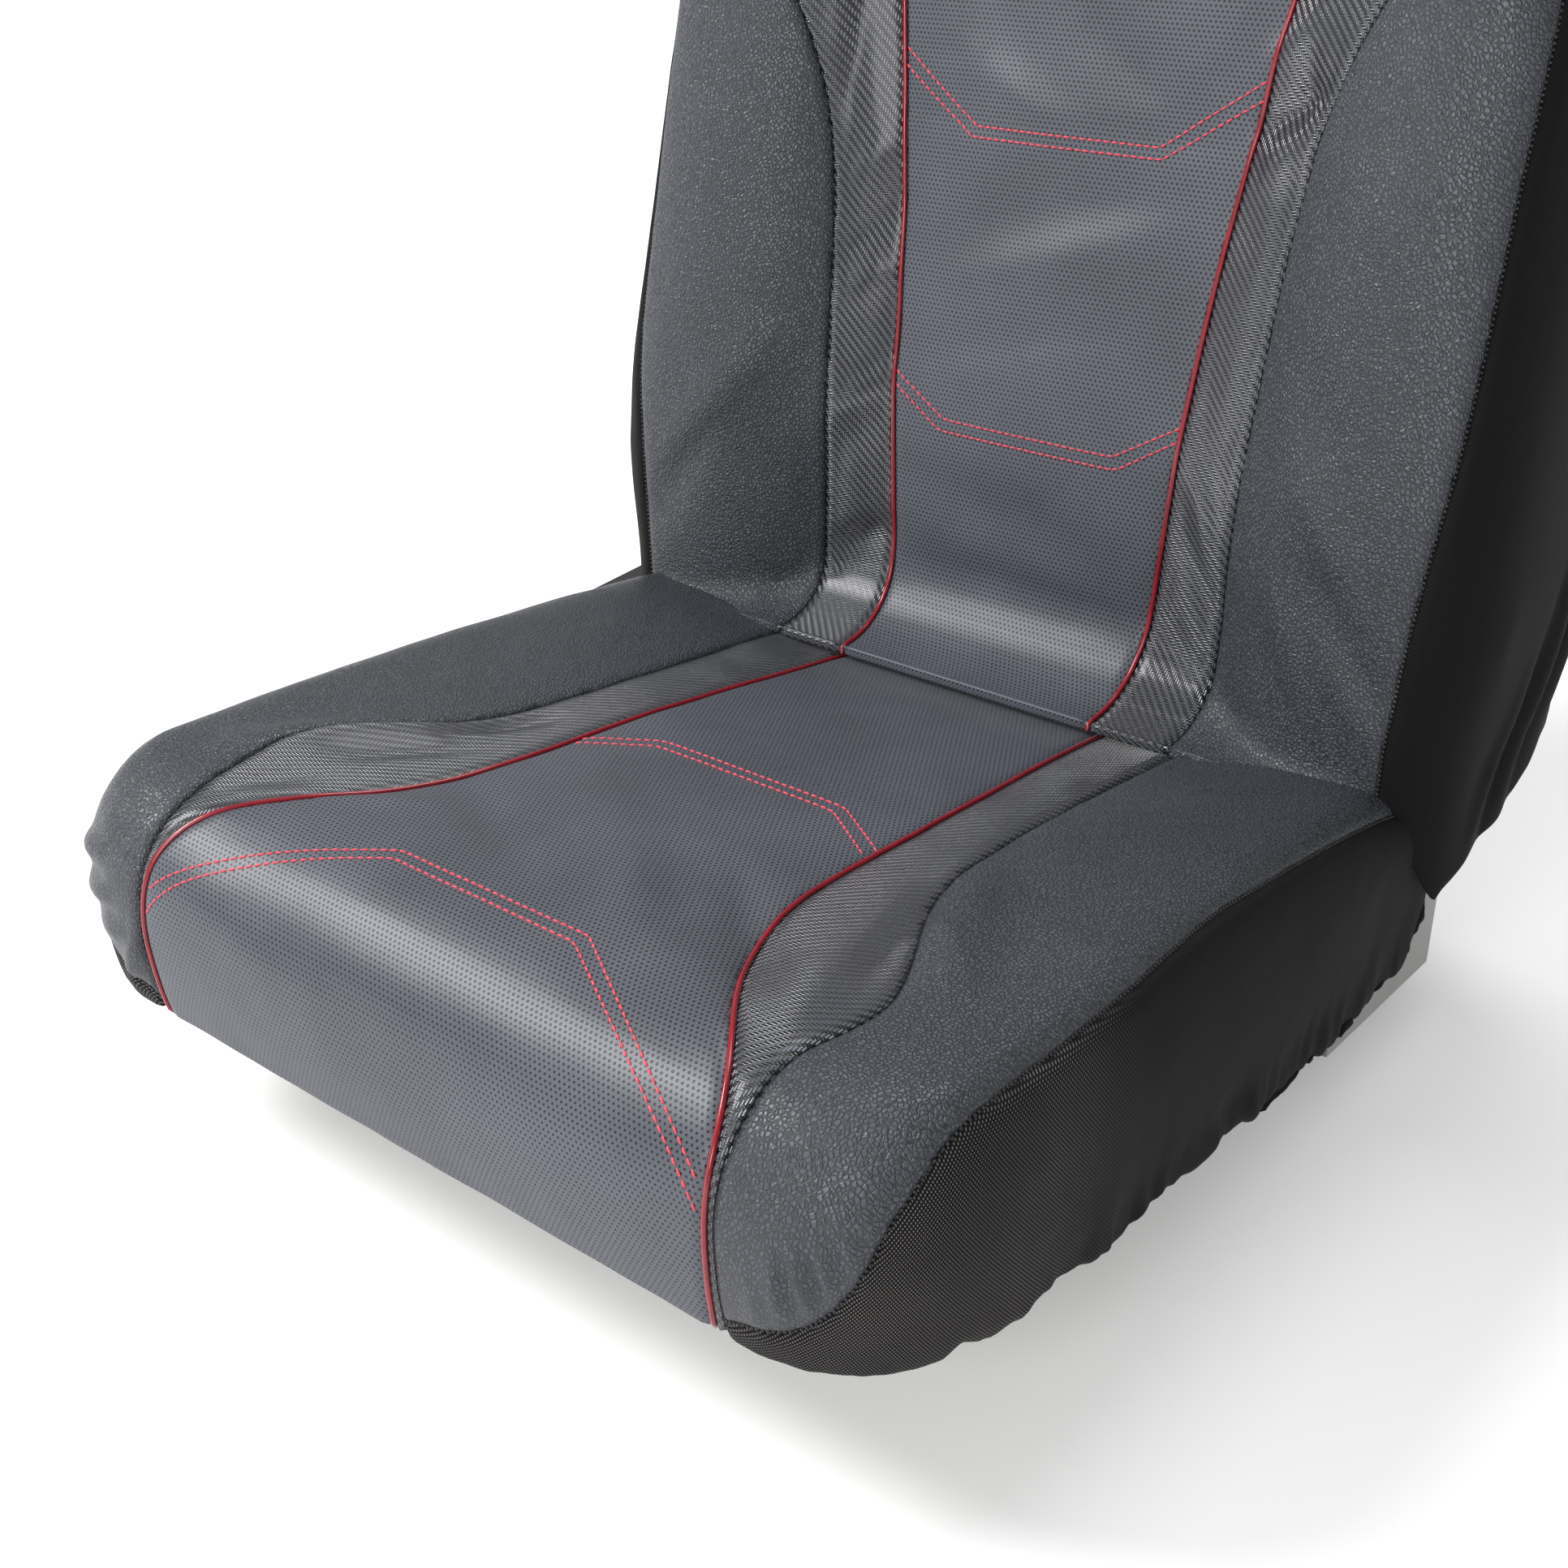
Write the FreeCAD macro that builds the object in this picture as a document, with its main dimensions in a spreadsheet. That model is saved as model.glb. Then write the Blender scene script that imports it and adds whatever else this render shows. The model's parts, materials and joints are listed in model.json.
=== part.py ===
import FreeCAD, Part
import math
import os
import Sketcher

from FreeCAD import Placement, Rotation, Vector

# A front seat in a fitted sports cover: floor rails, sliding seat frame, cushion, reclining back, headrest.
# +Z is up, +X is to the right of someone who looks at the seat from the front, -Y is forwards.
# The origin is the middle of the four floor bolts, on the floor.

SIZES = {
    # the bight, where cushion and back meet, is the reference line of the soft pieces
    "bight_y": 55,
    "bight_z": 165,
    # cushion, measured from the bight
    "cushion_half_width": 280,
    "cushion_widening": 4,
    "cushion_reach": 447,
    "cushion_crest": 28,
    "cushion_bolster": 13,
    "cushion_front_drop": 90,
    "cushion_hem_drop": 104,
    "cushion_hem_rear_drop": 92,
    "cushion_rear_fall": 4,
    "cushion_side_roll": 36,
    "cushion_corner": 74,
    "cushion_foam_depth": 57,
    "cushion_piping_rear": 93,
    "cushion_piping_front": 187,
    "cushion_insert_rear": 142,
    "cushion_insert_wide": 199,
    # back, measured from the bight
    "back_height": 622,
    "back_half_width": 301,
    "back_foot_half_width": 293,
    "back_shoulder_half_width": 276,
    "back_recess": 47,
    "back_bolster": 48,
    "back_bolster_crest": 240,
    "back_lean": 9.6,
    "back_rear": 204,
    "back_top_depth": 112,
    "back_side_roll": 56,
    "back_rear_roll": 58,
    "back_shoulder": 165,
    "back_toe": 9,
    "back_toe_height": 10,
    "back_fillet_height": 60,
    "back_piping_foot": 88,
    "back_insert_foot": 139,
    "back_flap_drop": 43,
    "back_flap_reach": 138,
    "back_flap_inner": 262,
    "back_edge_seam": 36,
    # covers and trim
    "cover_thickness": 3,
    "cover_gap": 0.3,
    "seam_gap": 0.5,
    "piping_width": 4.2,
    "piping_proud": 1.3,
    "bight_gap": 1.6,
    # recliner
    "pivot_reach": 100,
    "pivot_drop": 25,
    "hub_clear_radius": 61,
    "hub_gap": 2,
    "recliner_radius": 38,
    "recliner_half_thickness": 6,
    "recliner_gap": 0.3,
    "recliner_boss_radius": 15,
    "running_gap": 0.05,
    "shaft_radius": 5,
    "shaft_gap": 0.4,
    # rails
    "rail_spread": 192,
    "rail_width": 42,
    "rail_height": 30,
    "rail_wall": 2.5,
    "rail_length": 390,
    "rail_mouth": 13,
    "rail_lip": 7,
    "latch_flange": 14,
    "latch_height": 27,
    "notch_pitch": 20,
    "notch_width": 12,
    "foot_thickness": 4,
    "foot_length": 70,
    "foot_inner": 145,
    "foot_hole_radius": 5.5,
    "bolt_spread": 158,
    "bolt_reach": 210,
    "slide_stem": 6,
    "slide_bulb": 27,
    "slide_top_width": 24,
    "slide_top_rise": 7,
    "slide_plate": 3,
    "slide_length": 345,
    "roller_radius": 3,
    "roller_gap": 0.1,
    "roller_pitch": 45,
    # seat frame
    "member_spread": 200,
    "member_plate": 3,
    "member_flange": 20,
    "member_reach": 335,
    "frame_tube_radius": 12,
    "window_reach": 100,
    "window_radius": 16,
    "window_span": 120,
    "spring_wire": 1.9,
    "spring_pitch": 22,
    "spring_swing": 20,
    "spring_spread": 84,
    "pan_depth": 12,
    "pan_length": 120,
    "pan_plate": 2,
    "tube_wall": 1.5,
    "front_tube_reach": 150,
    "front_tube_height": 88,
    "rear_tube_reach": 70,
    "shield_out": 258,
    "shield_front": 40,
    "shield_length": 130,
    "shield_low": 24,
    "shield_wall": 2.5,
    # adjuster
    "adjuster_tube_radius": 6,
    "adjuster_reach": 315,
    "adjuster_pivot_reach": 60,
    "adjuster_height": 50,
    "adjuster_lift": 8,
    "adjuster_spread": 151,
    "latch_shelf": 14,
    "tooth_plate": 6,
    "adjuster_arm_plate": 4,
    "adjuster_arm_height": 14,
    "adjuster_pin_radius": 4,
    # lever
    "lever_length": 150,
    "lever_width": 26,
    "lever_plate": 14,
    "lever_gap": 10,
    # back frame
    "back_member_plate": 3,
    "back_member_width": 54,
    "back_member_top": 505,
    "back_cross_level": 490,
    "back_member_flange": 16,
    "back_tube_radius": 11,
    "back_lower_cross": 70,
    "back_foam_depth": 46,
    "back_foam_foot": 15,
    "back_foam_step": 60,
    "back_cavity_half": 222,
    "back_wire_radius": 1.8,
    "back_wire_pitch": 62,
    # headrest
    "post_spread": 70,
    "post_radius": 6,
    "post_gap": 0.05,
    "post_length": 255,
    "sleeve_radius": 9,
    "sleeve_collar_radius": 15,
    "sleeve_collar": 18,
    "sleeve_reach": 190,
    "sleeve_sink": 6.5,
    "sleeve_length": 118,
    "bracket_width": 32,
    "bracket_depth": 46,
    "bracket_height": 34,
    "headrest_half_width": 128,
    "headrest_height": 172,
    "headrest_depth": 92,
    "headrest_gap": 20,
    "headrest_panel": 62,
    "headrest_roll": 36,
    "button_radius": 4,
    "button_length": 9,
}

document = FreeCAD.newDocument("sports_seat")
sheet = document.addObject("Spreadsheet::Sheet", "sizes")
for row, (alias, value) in enumerate(SIZES.items(), start=1):
    sheet.set("A%d" % row, alias)
    sheet.set("B%d" % row, str(value))
    sheet.setAlias("B%d" % row, alias)
document.recompute()

nodes = []


def size(alias):
    """A driving size as a plain number of millimetres or degrees."""
    return float(sheet.get(alias))


def keep(item, label):
    """Names a finished sub-part and puts it on the list that is written out."""
    item.Label = label
    nodes.append(item)
    return item


def bind(item, **rules):
    """Ties properties of an object to the sheet; a double underscore stands for a dot."""
    for name, rule in rules.items():
        item.setExpression(name.replace("__", "."), rule)
    return item


def feature(label, shape):
    """A sub-part whose shape is worked out here from the sheet's values."""
    item = document.addObject("Part::Feature", label)
    item.Shape = shape
    item.Placement = Placement()
    return keep(item, label)


def mirrored(source, label):
    """The left-hand twin of a right-hand sub-part."""
    twin = document.addObject("Part::Mirroring", label)
    twin.Source = source
    twin.Base = Vector(0, 0, 0)
    twin.Normal = Vector(1, 0, 0)
    return keep(twin, label)


def pair(item, name):
    """Keeps a right-hand object and adds its left-hand twin."""
    keep(item, name + "_right")
    return mirrored(item, name + "_left")


# the bight and the recliner's axis in the part's own frame
BIGHT_Y = size("bight_y")
BIGHT_Z = size("bight_z")
PIVOT_Y = BIGHT_Y + size("pivot_reach")
PIVOT_Z = BIGHT_Z - size("pivot_drop")


def at(x, y, z):
    """A point given from the bight."""
    return Vector(x, BIGHT_Y + y, BIGHT_Z + z)


def span(first, middle, last):
    """An arc through three points, or a line where they are in line."""
    bow = (middle - first).cross(last - first).Length
    if bow < 1e-3 * (last - first).Length:
        return Part.LineSegment(first, last).toShape()
    return Part.Arc(first, middle, last).toShape()


def straight(first, last):
    """A straight edge."""
    return Part.LineSegment(first, last).toShape()


def curve(points):
    """A smooth edge through points."""
    spline = Part.BSplineCurve()
    spline.interpolate(points)
    return spline.toShape()


def on_hub(radius, z):
    """The y, from the bight, where a circle round the recliner's axis crosses a height, on its front side."""
    rise = z + size("pivot_drop")
    return size("pivot_reach") - math.sqrt(max(radius * radius - rise * rise, 1))


# Cushion form: side profiles set along X, rolled over at both sides

ROLL_TURNS = (0, 30, 60, 80, 90)


def eased(share):
    """A smooth step from 0 to 1."""
    share = min(max(share, 0.0), 1.0)
    return share * share * (3 - 2 * share)


def cushion_profile(x, turn, inset, open_under):
    """One closed side profile of the cushion at a roll angle, drawn in below the cover by inset."""
    reach = size("cushion_reach")
    widen = size("cushion_widening") / size("cushion_half_width")
    drop = size("cushion_front_drop")
    rolled = (size("cushion_side_roll") - inset) * (1 - math.cos(math.radians(turn)))
    corner = size("cushion_corner") - inset
    front_half = size("cushion_half_width") + size("cushion_widening") - inset
    over = max(0.0, abs(x) * (1 + widen) - (front_half - corner))
    setback = corner - math.sqrt(max(corner * corner - over * over, 0.0))
    share = setback / corner
    crest_x = size("cushion_half_width") - size("cushion_side_roll")
    piping_x = size("cushion_piping_rear")
    raised = size("cushion_bolster") * eased((abs(x) - piping_x) / (crest_x - piping_x))
    nose_y = -reach + inset + setback

    def place(y, z):
        return at(x * (1 - widen * y / reach), y, z)

    rear_z = -size("cushion_rear_fall") - inset - rolled + 1.2 * raised
    middle_z = 0.5 * size("cushion_crest") + 2 - inset - rolled + raised
    crest_z = size("cushion_crest") - inset - rolled + 0.55 * raised
    radius = size("hub_clear_radius") + size("hub_gap") + inset
    rear_y = on_hub(radius, rear_z)
    hem_z = -size("cushion_hem_rear_drop")
    hem_y = rear_y - 30
    top_crest = place(nose_y + 72 - 26 * share, crest_z)
    nose_top = place(nose_y + 19 - 6 * share, crest_z - 17)
    nose = place(nose_y, -0.30 * drop - 0.4 * rolled)
    nose_low = place(nose_y + 1.5 + 8 * share, -0.62 * drop)
    front_low = place(nose_y + 8 + 26 * share, -drop + 8 * share)
    middle = place(-0.35 * reach, middle_z)
    if open_under:
        behind = size("pivot_reach") - 12
        below = -size("cushion_hem_drop") - 40
        top_rear = place(rear_y, rear_z)
        return Part.Wire([
            span(top_rear, middle, top_crest),
            span(top_crest, nose_top, nose),
            span(nose, nose_low, front_low),
            straight(front_low, place(nose_y + 12, below)),
            straight(place(nose_y + 12, below), place(behind, below)),
            straight(place(behind, below), place(behind, rear_z)),
            straight(place(behind, rear_z), top_rear),
        ])
    top_rear = place(rear_y, rear_z)
    hem = place(-0.38 * reach, -size("cushion_hem_drop"))
    hem_rear = place(hem_y, hem_z)
    rear_middle = place(rear_y - 5, 0.5 * hem_z)
    return Part.Wire([
        span(top_rear, middle, top_crest),
        span(top_crest, nose_top, nose),
        span(nose, nose_low, front_low),
        span(front_low, hem, hem_rear),
        span(hem_rear, rear_middle, top_rear),
    ])


def cushion_form(inset, open_under=False):
    """The whole cushion as one soft solid, drawn in by inset, and run on where it is left open."""
    crest_x = size("cushion_half_width") - size("cushion_side_roll")
    roll = size("cushion_side_roll") - inset
    right = [(crest_x + roll * math.sin(math.radians(turn)), turn) for turn in ROLL_TURNS]
    piping_x = size("cushion_piping_rear")
    middle = [(0.55 * piping_x, 0), (piping_x, 0)]
    middle += [(0.5 * (piping_x + crest_x), 0), (0.2 * piping_x + 0.8 * crest_x, 0)]
    half = middle + right
    stations = [(-x, turn) for x, turn in reversed(half)] + half
    profiles = [cushion_profile(x, turn, inset, open_under) for x, turn in stations]
    return Part.makeLoft(profiles, True, False)


def plan_inside(seam):
    """Everything on the inner side of a seam that is drawn in plan as (x, y) from the bight."""
    edge = curve([at(x, y, LOW) for x, y in seam])
    first = at(seam[0][0], seam[0][1], LOW)
    last = at(seam[-1][0], seam[-1][1], LOW)
    near = at(-FAR, seam[0][1], LOW)
    end = at(-FAR, seam[-1][1], LOW)
    wire = Part.Wire([edge, straight(last, end), straight(end, near), straight(near, first)])
    return Part.Face(wire).extrude(Vector(0, 0, HIGH - LOW))


def shifted(seam, step):
    """A seam moved sideways."""
    return [(first + step, second) for first, second in seam]


def mirror_image(shape):
    """A shape turned over to the other side of the middle."""
    return shape.mirror(Vector(0, 0, 0), Vector(1, 0, 0))


LOW = -200
HIGH = 120
FAR = 400
BEHIND = size("pivot_reach")
AHEAD = -size("cushion_reach") - 40
REAR_P = size("cushion_piping_rear")
FRONT_P = size("cushion_piping_front")
REAR_I = size("cushion_insert_rear")
WIDE_I = size("cushion_insert_wide")
REACH = size("cushion_reach")

cushion_piping_seam = [
    (REAR_P - 2, BEHIND),
    (REAR_P, -0.05 * REACH),
    (REAR_P + 9, -0.45 * REACH),
    (REAR_P + 20, -0.70 * REACH),
    (0.45 * REAR_P + 0.55 * FRONT_P, -0.835 * REACH),
    (FRONT_P - 11, -0.93 * REACH),
    (FRONT_P, -0.985 * REACH),
    (FRONT_P - 1, AHEAD),
]
cushion_insert_seam = [
    (REAR_I - 1, BEHIND),
    (REAR_I, -0.1 * REACH),
    (REAR_I + 3, -0.42 * REACH),
    (0.72 * REAR_I + 0.28 * WIDE_I, -0.57 * REACH),
    (0.3 * REAR_I + 0.7 * WIDE_I, -0.67 * REACH),
    (WIDE_I, -0.765 * REACH),
    (0.5 * (WIDE_I + FRONT_P), -0.89 * REACH),
    (FRONT_P + 5, -0.955 * REACH),
    (FRONT_P + 3, AHEAD),
]

HALF_P = 0.5 * size("piping_width")
PIPE_SLOT = HALF_P + 0.25
HALF_SEAM = 0.5 * size("seam_gap")

cover_outer = cushion_form(0)
cover_inner = cushion_form(size("cover_thickness"), open_under=True)
cushion_shell = cover_outer.cut(cover_inner)

# the seam between bolster leather and stretch skirt runs along the side and dips round the front corner
CREST_X = size("cushion_half_width") - size("cushion_side_roll")
CREST_Z = size("cushion_crest")
DROP = size("cushion_front_drop")
skirt_seam = [
    (BEHIND, -0.5 * CREST_Z),
    (0, 0.15 * CREST_Z),
    (-0.22 * REACH, 0.62 * CREST_Z),
    (-0.45 * REACH, 0.86 * CREST_Z),
    (-0.67 * REACH, 0.93 * CREST_Z),
    (-0.84 * REACH, 0.70 * CREST_Z),
    (-0.945 * REACH, -0.1 * CREST_Z),
    (-0.982 * REACH, -0.38 * DROP),
    (-0.972 * REACH, -0.72 * DROP),
    (-0.945 * REACH, -1.1 * DROP),
    (-0.90 * REACH, LOW),
]


def skirt_zone(step, low_x):
    """The space below the skirt seam at the right side of the cushion."""
    points = [at(low_x, y - step, z + step) for y, z in skirt_seam]
    edge = curve(points)
    corner = at(low_x, BEHIND - step, LOW)
    foot = at(low_x, skirt_seam[-1][0] - step, LOW)
    wire = Part.Wire([edge, straight(points[-1], foot), straight(foot, corner), straight(corner, points[0])])
    return Part.Face(wire).extrude(Vector(FAR - low_x, 0, 0))


skirt_low_x = CREST_X - 40
centre_zone = plan_inside(shifted(cushion_piping_seam, -PIPE_SLOT))
piping_outside = plan_inside(shifted(cushion_piping_seam, PIPE_SLOT))
insert_inside = plan_inside(shifted(cushion_insert_seam, -HALF_SEAM))
bolster_inside = plan_inside(shifted(cushion_insert_seam, HALF_SEAM))
piping_zone = plan_inside(shifted(cushion_piping_seam, HALF_P)).cut(
    plan_inside(shifted(cushion_piping_seam, -HALF_P))
)

feature("cushion_centre_panel", cushion_shell.common(centre_zone).common(mirror_image(centre_zone)))
cushion_insert = feature("cushion_insert_right", cushion_shell.common(insert_inside).cut(piping_outside))
mirrored(cushion_insert, "cushion_insert_left")
bolster = cushion_shell.cut(bolster_inside).cut(skirt_zone(HALF_SEAM, skirt_low_x))
cushion_bolster = feature("cushion_bolster_cover_right", bolster)
mirrored(cushion_bolster, "cushion_bolster_cover_left")
skirt = feature("cushion_skirt_right", cushion_shell.common(skirt_zone(-HALF_SEAM, skirt_low_x + HALF_SEAM)))
mirrored(skirt, "cushion_skirt_left")
raised = cushion_form(-size("piping_proud"))
cushion_piping = feature("cushion_piping_right", raised.cut(cover_inner).common(piping_zone))
mirrored(cushion_piping, "cushion_piping_left")

# Cushion foam: the form under the covers, hollowed from below for the frame
foam_inset = size("cover_thickness") + size("cover_gap")
foam = cushion_form(foam_inset)
member_outside = size("member_spread") + size("member_plate")
hollow_half = member_outside + 8
hollow = Part.makeBox(
    2 * hollow_half, 700, 200, Vector(-hollow_half, BIGHT_Y - 550, BIGHT_Z - size("cushion_foam_depth") - 200)
)
below = Part.makeBox(800, 900, 200, Vector(-400, BIGHT_Y - 650, BIGHT_Z - size("cushion_foam_depth") - 221))
bracket_room = Part.makeBox(
    2 * size("shield_out") + 4, 300, 300,
    Vector(-size("shield_out") - 2, size("shield_front") - 2, PIVOT_Z - size("recliner_radius") - 4 - 300)
)
feature("cushion_foam", foam.cut(hollow).cut(below).cut(bracket_room))


# Back form: level sections set along Z, with a toe that lies on the cushion

TOP = size("back_height")

def back_front(z):
    """How far the middle of the back's front lies behind the bight at a height."""
    lumbar = 150.0
    if z <= lumbar:
        return size("back_recess") + 3 * (z / lumbar) ** 2
    return size("back_recess") + 3 + math.tan(math.radians(size("back_lean"))) * (z - lumbar)


def back_behind(z):
    """How far the back's rear face lies behind the bight at a height."""
    share = max(z, 0) / size("back_height")
    top = back_front(size("back_height")) + size("back_top_depth")
    return size("back_rear") + (top - size("back_rear")) * share * share


def back_half(z):
    """The back's half width at a height."""
    foot = size("back_foot_half_width")
    full = size("back_half_width")
    shoulder_start = size("back_height") - size("back_shoulder")
    widest = 0.16 * size("back_height")
    if z < widest:
        width = foot + (full - foot) * eased(z / widest)
    else:
        share = (z - widest) / (shoulder_start - widest)
        width = full + (size("back_shoulder_half_width") - full) * share
    over = (z - shoulder_start) / size("back_shoulder")
    if over > 0:
        width -= 0.5 * full * (1 - math.sqrt(max(1 - over ** 2.2, 0)))
    return width


def back_section(z, inset, pinch):
    """One level section of the back; pinch draws the front and rear faces together near the top."""
    front = back_front(z) + inset + pinch
    rear = back_behind(z) - inset - pinch
    half = back_half(z) - inset
    crest_x = half - (size("back_half_width") - size("back_bolster_crest")) + inset
    fade = min(1.0, max(0.0, (size("back_height") - z) / (0.5 * size("back_shoulder"))))
    rise = size("back_bolster") * (0.35 + 0.65 * fade)
    flat = min(size("back_piping_foot") + 4, 0.6 * crest_x)
    turn_x = 0.5 * (flat + crest_x)
    depth = rear - (front - rise)
    side_roll = min(size("back_side_roll") - inset, 0.42 * depth)
    rear_roll = min(size("back_rear_roll") - inset, 0.30 * depth)
    crest_y = front - rise
    corner_x = crest_x + 0.79 * (half - crest_x)
    corner_y = crest_y + 0.29 * side_roll
    rear_corner_x = half - 0.30 * rear_roll
    rear_corner_y = rear - 0.30 * rear_roll
    quarter = 0.5 * (turn_x - flat)
    bend = quarter * 1.1
    middle = at(turn_x, front - 0.5 * rise, z)
    right = [
        (at(0, front, z), None, at(flat, front, z)),
        (at(flat, front, z), at(flat + bend, front - 0.14 * rise, z), middle),
        (middle, at(crest_x - bend, front - 0.86 * rise, z), at(crest_x, crest_y, z)),
        (at(crest_x, crest_y, z), at(corner_x, corner_y, z), at(half, crest_y + side_roll, z)),
        (
            at(half, crest_y + side_roll, z),
            at(half + 1.5, 0.5 * (crest_y + rear), z),
            at(half, rear - rear_roll, z),
        ),
        (at(half, rear - rear_roll, z), at(rear_corner_x, rear_corner_y, z), at(half - rear_roll, rear, z)),
        (at(half - rear_roll, rear, z), at(0.5 * half, rear + 5, z), at(0, rear + 7, z)),
    ]
    edges = []
    for first, middle, last in right:
        edges.append(straight(first, last) if middle is None else span(first, middle, last))
    mirror_edges = []
    for first, middle, last in reversed(right):
        ends = [Vector(-p.x, p.y, p.z) if p is not None else None for p in (last, middle, first)]
        mirror_edges.append(straight(ends[0], ends[2]) if middle is None else span(*ends))
    return Part.Wire(edges + mirror_edges)


BACK_LEVELS = (0.0, 0.10, 0.24, 0.48, 0.735, 0.85, 0.925, 0.97, 0.993, 1.0)
BACK_PINCH = (0, 0, 0, 0, 0, 2, 8, 18, 33, 44)


def back_form(inset):
    """The back as one soft solid, drawn in by inset, with its foot run straight down."""
    high = size("back_height") - inset
    sections = [back_section(-110.0, inset, 0)]
    for share, pinch in zip(BACK_LEVELS, BACK_PINCH):
        sections.append(back_section(high * share, inset, pinch))
    return Part.makeLoft(sections, True, False)


def back_toe(inset, foot_extra=0.0):
    """The fillet that turns the back's front forwards into the bight and ends in a rolled lip."""
    half = size("back_bolster_crest") + 6 - inset
    low = size("bight_gap") - foot_extra
    lip_top = size("back_toe_height") - inset
    toe = -size("back_toe") + inset
    rise = size("back_fillet_height")
    recess = size("back_recess") + inset
    middle = Vector(-half, BIGHT_Y + 0.68 * recess, BIGHT_Z + lip_top + 0.27 * (rise - lip_top))
    lip = [at(-half, toe, low), at(-half, toe, lip_top - 4), at(-half, toe + 4, lip_top)]
    edges = [
        straight(lip[0], lip[1]),
        span(lip[1], at(-half, toe + 1.2, lip_top - 1.2), lip[2]),
        span(lip[2], middle, at(-half, recess, rise)),
        straight(at(-half, recess, rise), at(-half, recess + 40, rise)),
        straight(at(-half, recess + 40, rise), at(-half, recess + 40, low)),
        straight(at(-half, recess + 40, low), lip[0]),
    ]
    return Part.Face(Part.Wire(edges)).extrude(Vector(2 * half, 0, 0))


def back_region(foot_extra=0.0, hub_extra=0.0, flap_extra=0.0):
    """The space of the back from the side: above the bight, and below it behind the recliner's circle."""
    low = size("bight_gap") - foot_extra
    radius = size("hub_clear_radius") + hub_extra
    side = -400
    start = at(side, on_hub(radius, low), low)
    hub_front = at(side, size("pivot_reach") - radius, -size("pivot_drop"))
    tip = at(side, size("pivot_reach") - 0.71 * radius, -size("pivot_drop") - 0.69 * radius - flap_extra)
    corner = at(side, size("back_flap_reach"), -size("back_flap_drop") - flap_extra)
    rear_y = size("back_rear") + 12
    bulge = at(side, 0.5 * (size("back_flap_reach") + rear_y) + 4, -0.45 * size("back_flap_drop"))
    upper = at(side, rear_y, low)
    edges = [
        straight(at(side, -200, low), start),
        span(start, hub_front, tip),
        straight(tip, corner),
        span(corner, bulge, upper),
        straight(upper, at(side, 400, low)),
        straight(at(side, 400, low), at(side, 400, TOP + 100)),
        straight(at(side, 400, TOP + 100), at(side, -200, TOP + 100)),
        straight(at(side, -200, TOP + 100), at(side, -200, low)),
    ]
    return Part.Face(Part.Wire(edges)).extrude(Vector(800, 0, 0))


def front_inside(seam):
    """Everything on the inner side of a seam that is drawn in the front view as (x, z) from the bight."""
    near = -150
    edge = curve([at(x, near, z) for x, z in seam])
    first = at(seam[0][0], near, seam[0][1])
    last = at(seam[-1][0], near, seam[-1][1])
    top = at(-FAR, near, seam[-1][1])
    foot = at(-FAR, near, seam[0][1])
    wire = Part.Wire([edge, straight(last, top), straight(top, foot), straight(foot, first)])
    return Part.Face(wire).extrude(Vector(0, 650, 0))


FOOT_P = size("back_piping_foot")
FOOT_I = size("back_insert_foot")
ABOVE = TOP + 60
BELOW = -180
back_piping_seam = [
    (FOOT_P - 1, BELOW),
    (FOOT_P, 0),
    (FOOT_P + 6, 0.15 * TOP),
    (FOOT_P + 14, 0.36 * TOP),
    (FOOT_P + 30, 0.57 * TOP),
    (FOOT_P + 52, 0.82 * TOP),
    (FOOT_P + 66, ABOVE),
]
back_insert_seam = [
    (FOOT_I, BELOW),
    (FOOT_I, 0),
    (FOOT_I + 1, 0.20 * TOP),
    (FOOT_I + 6, 0.37 * TOP),
    (FOOT_I + 20, 0.53 * TOP),
    (FOOT_I + 48, 0.63 * TOP),
    (FOOT_I + 92, 0.72 * TOP),
    (FOOT_I + 150, 0.80 * TOP),
    (FOOT_I + 200, ABOVE),
]
EDGE = size("back_edge_seam")
back_edge_seam = [
    (back_half(0) - EDGE, BELOW),
    (back_half(0) - EDGE, 0),
    (back_half(90) - 1.1 * EDGE, 90),
    (back_half(180) - 0.75 * EDGE, 180),
    (back_half(0.5 * TOP) - 0.5 * EDGE, 0.5 * TOP),
    (back_half(0.735 * TOP) - 0.4 * EDGE, 0.735 * TOP),
    (back_half(0.85 * TOP) - 0.5 * EDGE, 0.85 * TOP),
    (back_half(0.925 * TOP) - 0.7 * EDGE, 0.925 * TOP),
    (back_half(0.97 * TOP) - EDGE, 0.97 * TOP),
    (back_half(0.97 * TOP) - 2 * EDGE, ABOVE),
]


def front_half(step):
    """The space in front of the seam that runs over the back's top and down behind its bolsters."""
    foot_y = size("hub_clear_radius") + step
    top_y = 0.5 * (back_front(TOP) + back_behind(TOP)) + step
    points = [at(-400, -150, BELOW), at(-400, foot_y, BELOW), at(-400, foot_y, 0), at(-400, top_y, TOP)]
    points += [at(-400, top_y, ABOVE), at(-400, -150, ABOVE)]
    return Part.Face(Part.makePolygon(points + points[:1])).extrude(Vector(800, 0, 0))


cushion_clear = cushion_form(-size("bight_gap"))


def whole_back(inset, *region):
    """Back form with its toe, standing clear of the cushion."""
    form = back_form(inset).common(back_region(*region))
    return form.fuse(back_toe(inset, region[0] if region else 0.0))


back_outer = whole_back(0).cut(cushion_clear)
back_inner = whole_back(size("cover_thickness"), 6, 8, 40)
flap_inner = size("back_flap_inner")
flap_gap = Part.makeBox(2 * flap_inner, 500, 200, at(-flap_inner, 0, -10 - 200))
gap_foot = size("bight_gap") - 199.8
front_gap = Part.makeBox(2 * flap_inner, size("pivot_reach"), 200, at(-flap_inner, 0, gap_foot))
back_shell = back_outer.cut(flap_gap.fuse(front_gap)).cut(back_inner)
front_shell = back_shell.common(front_half(0))
rear_shell = back_shell.cut(front_half(size("seam_gap")))

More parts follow.
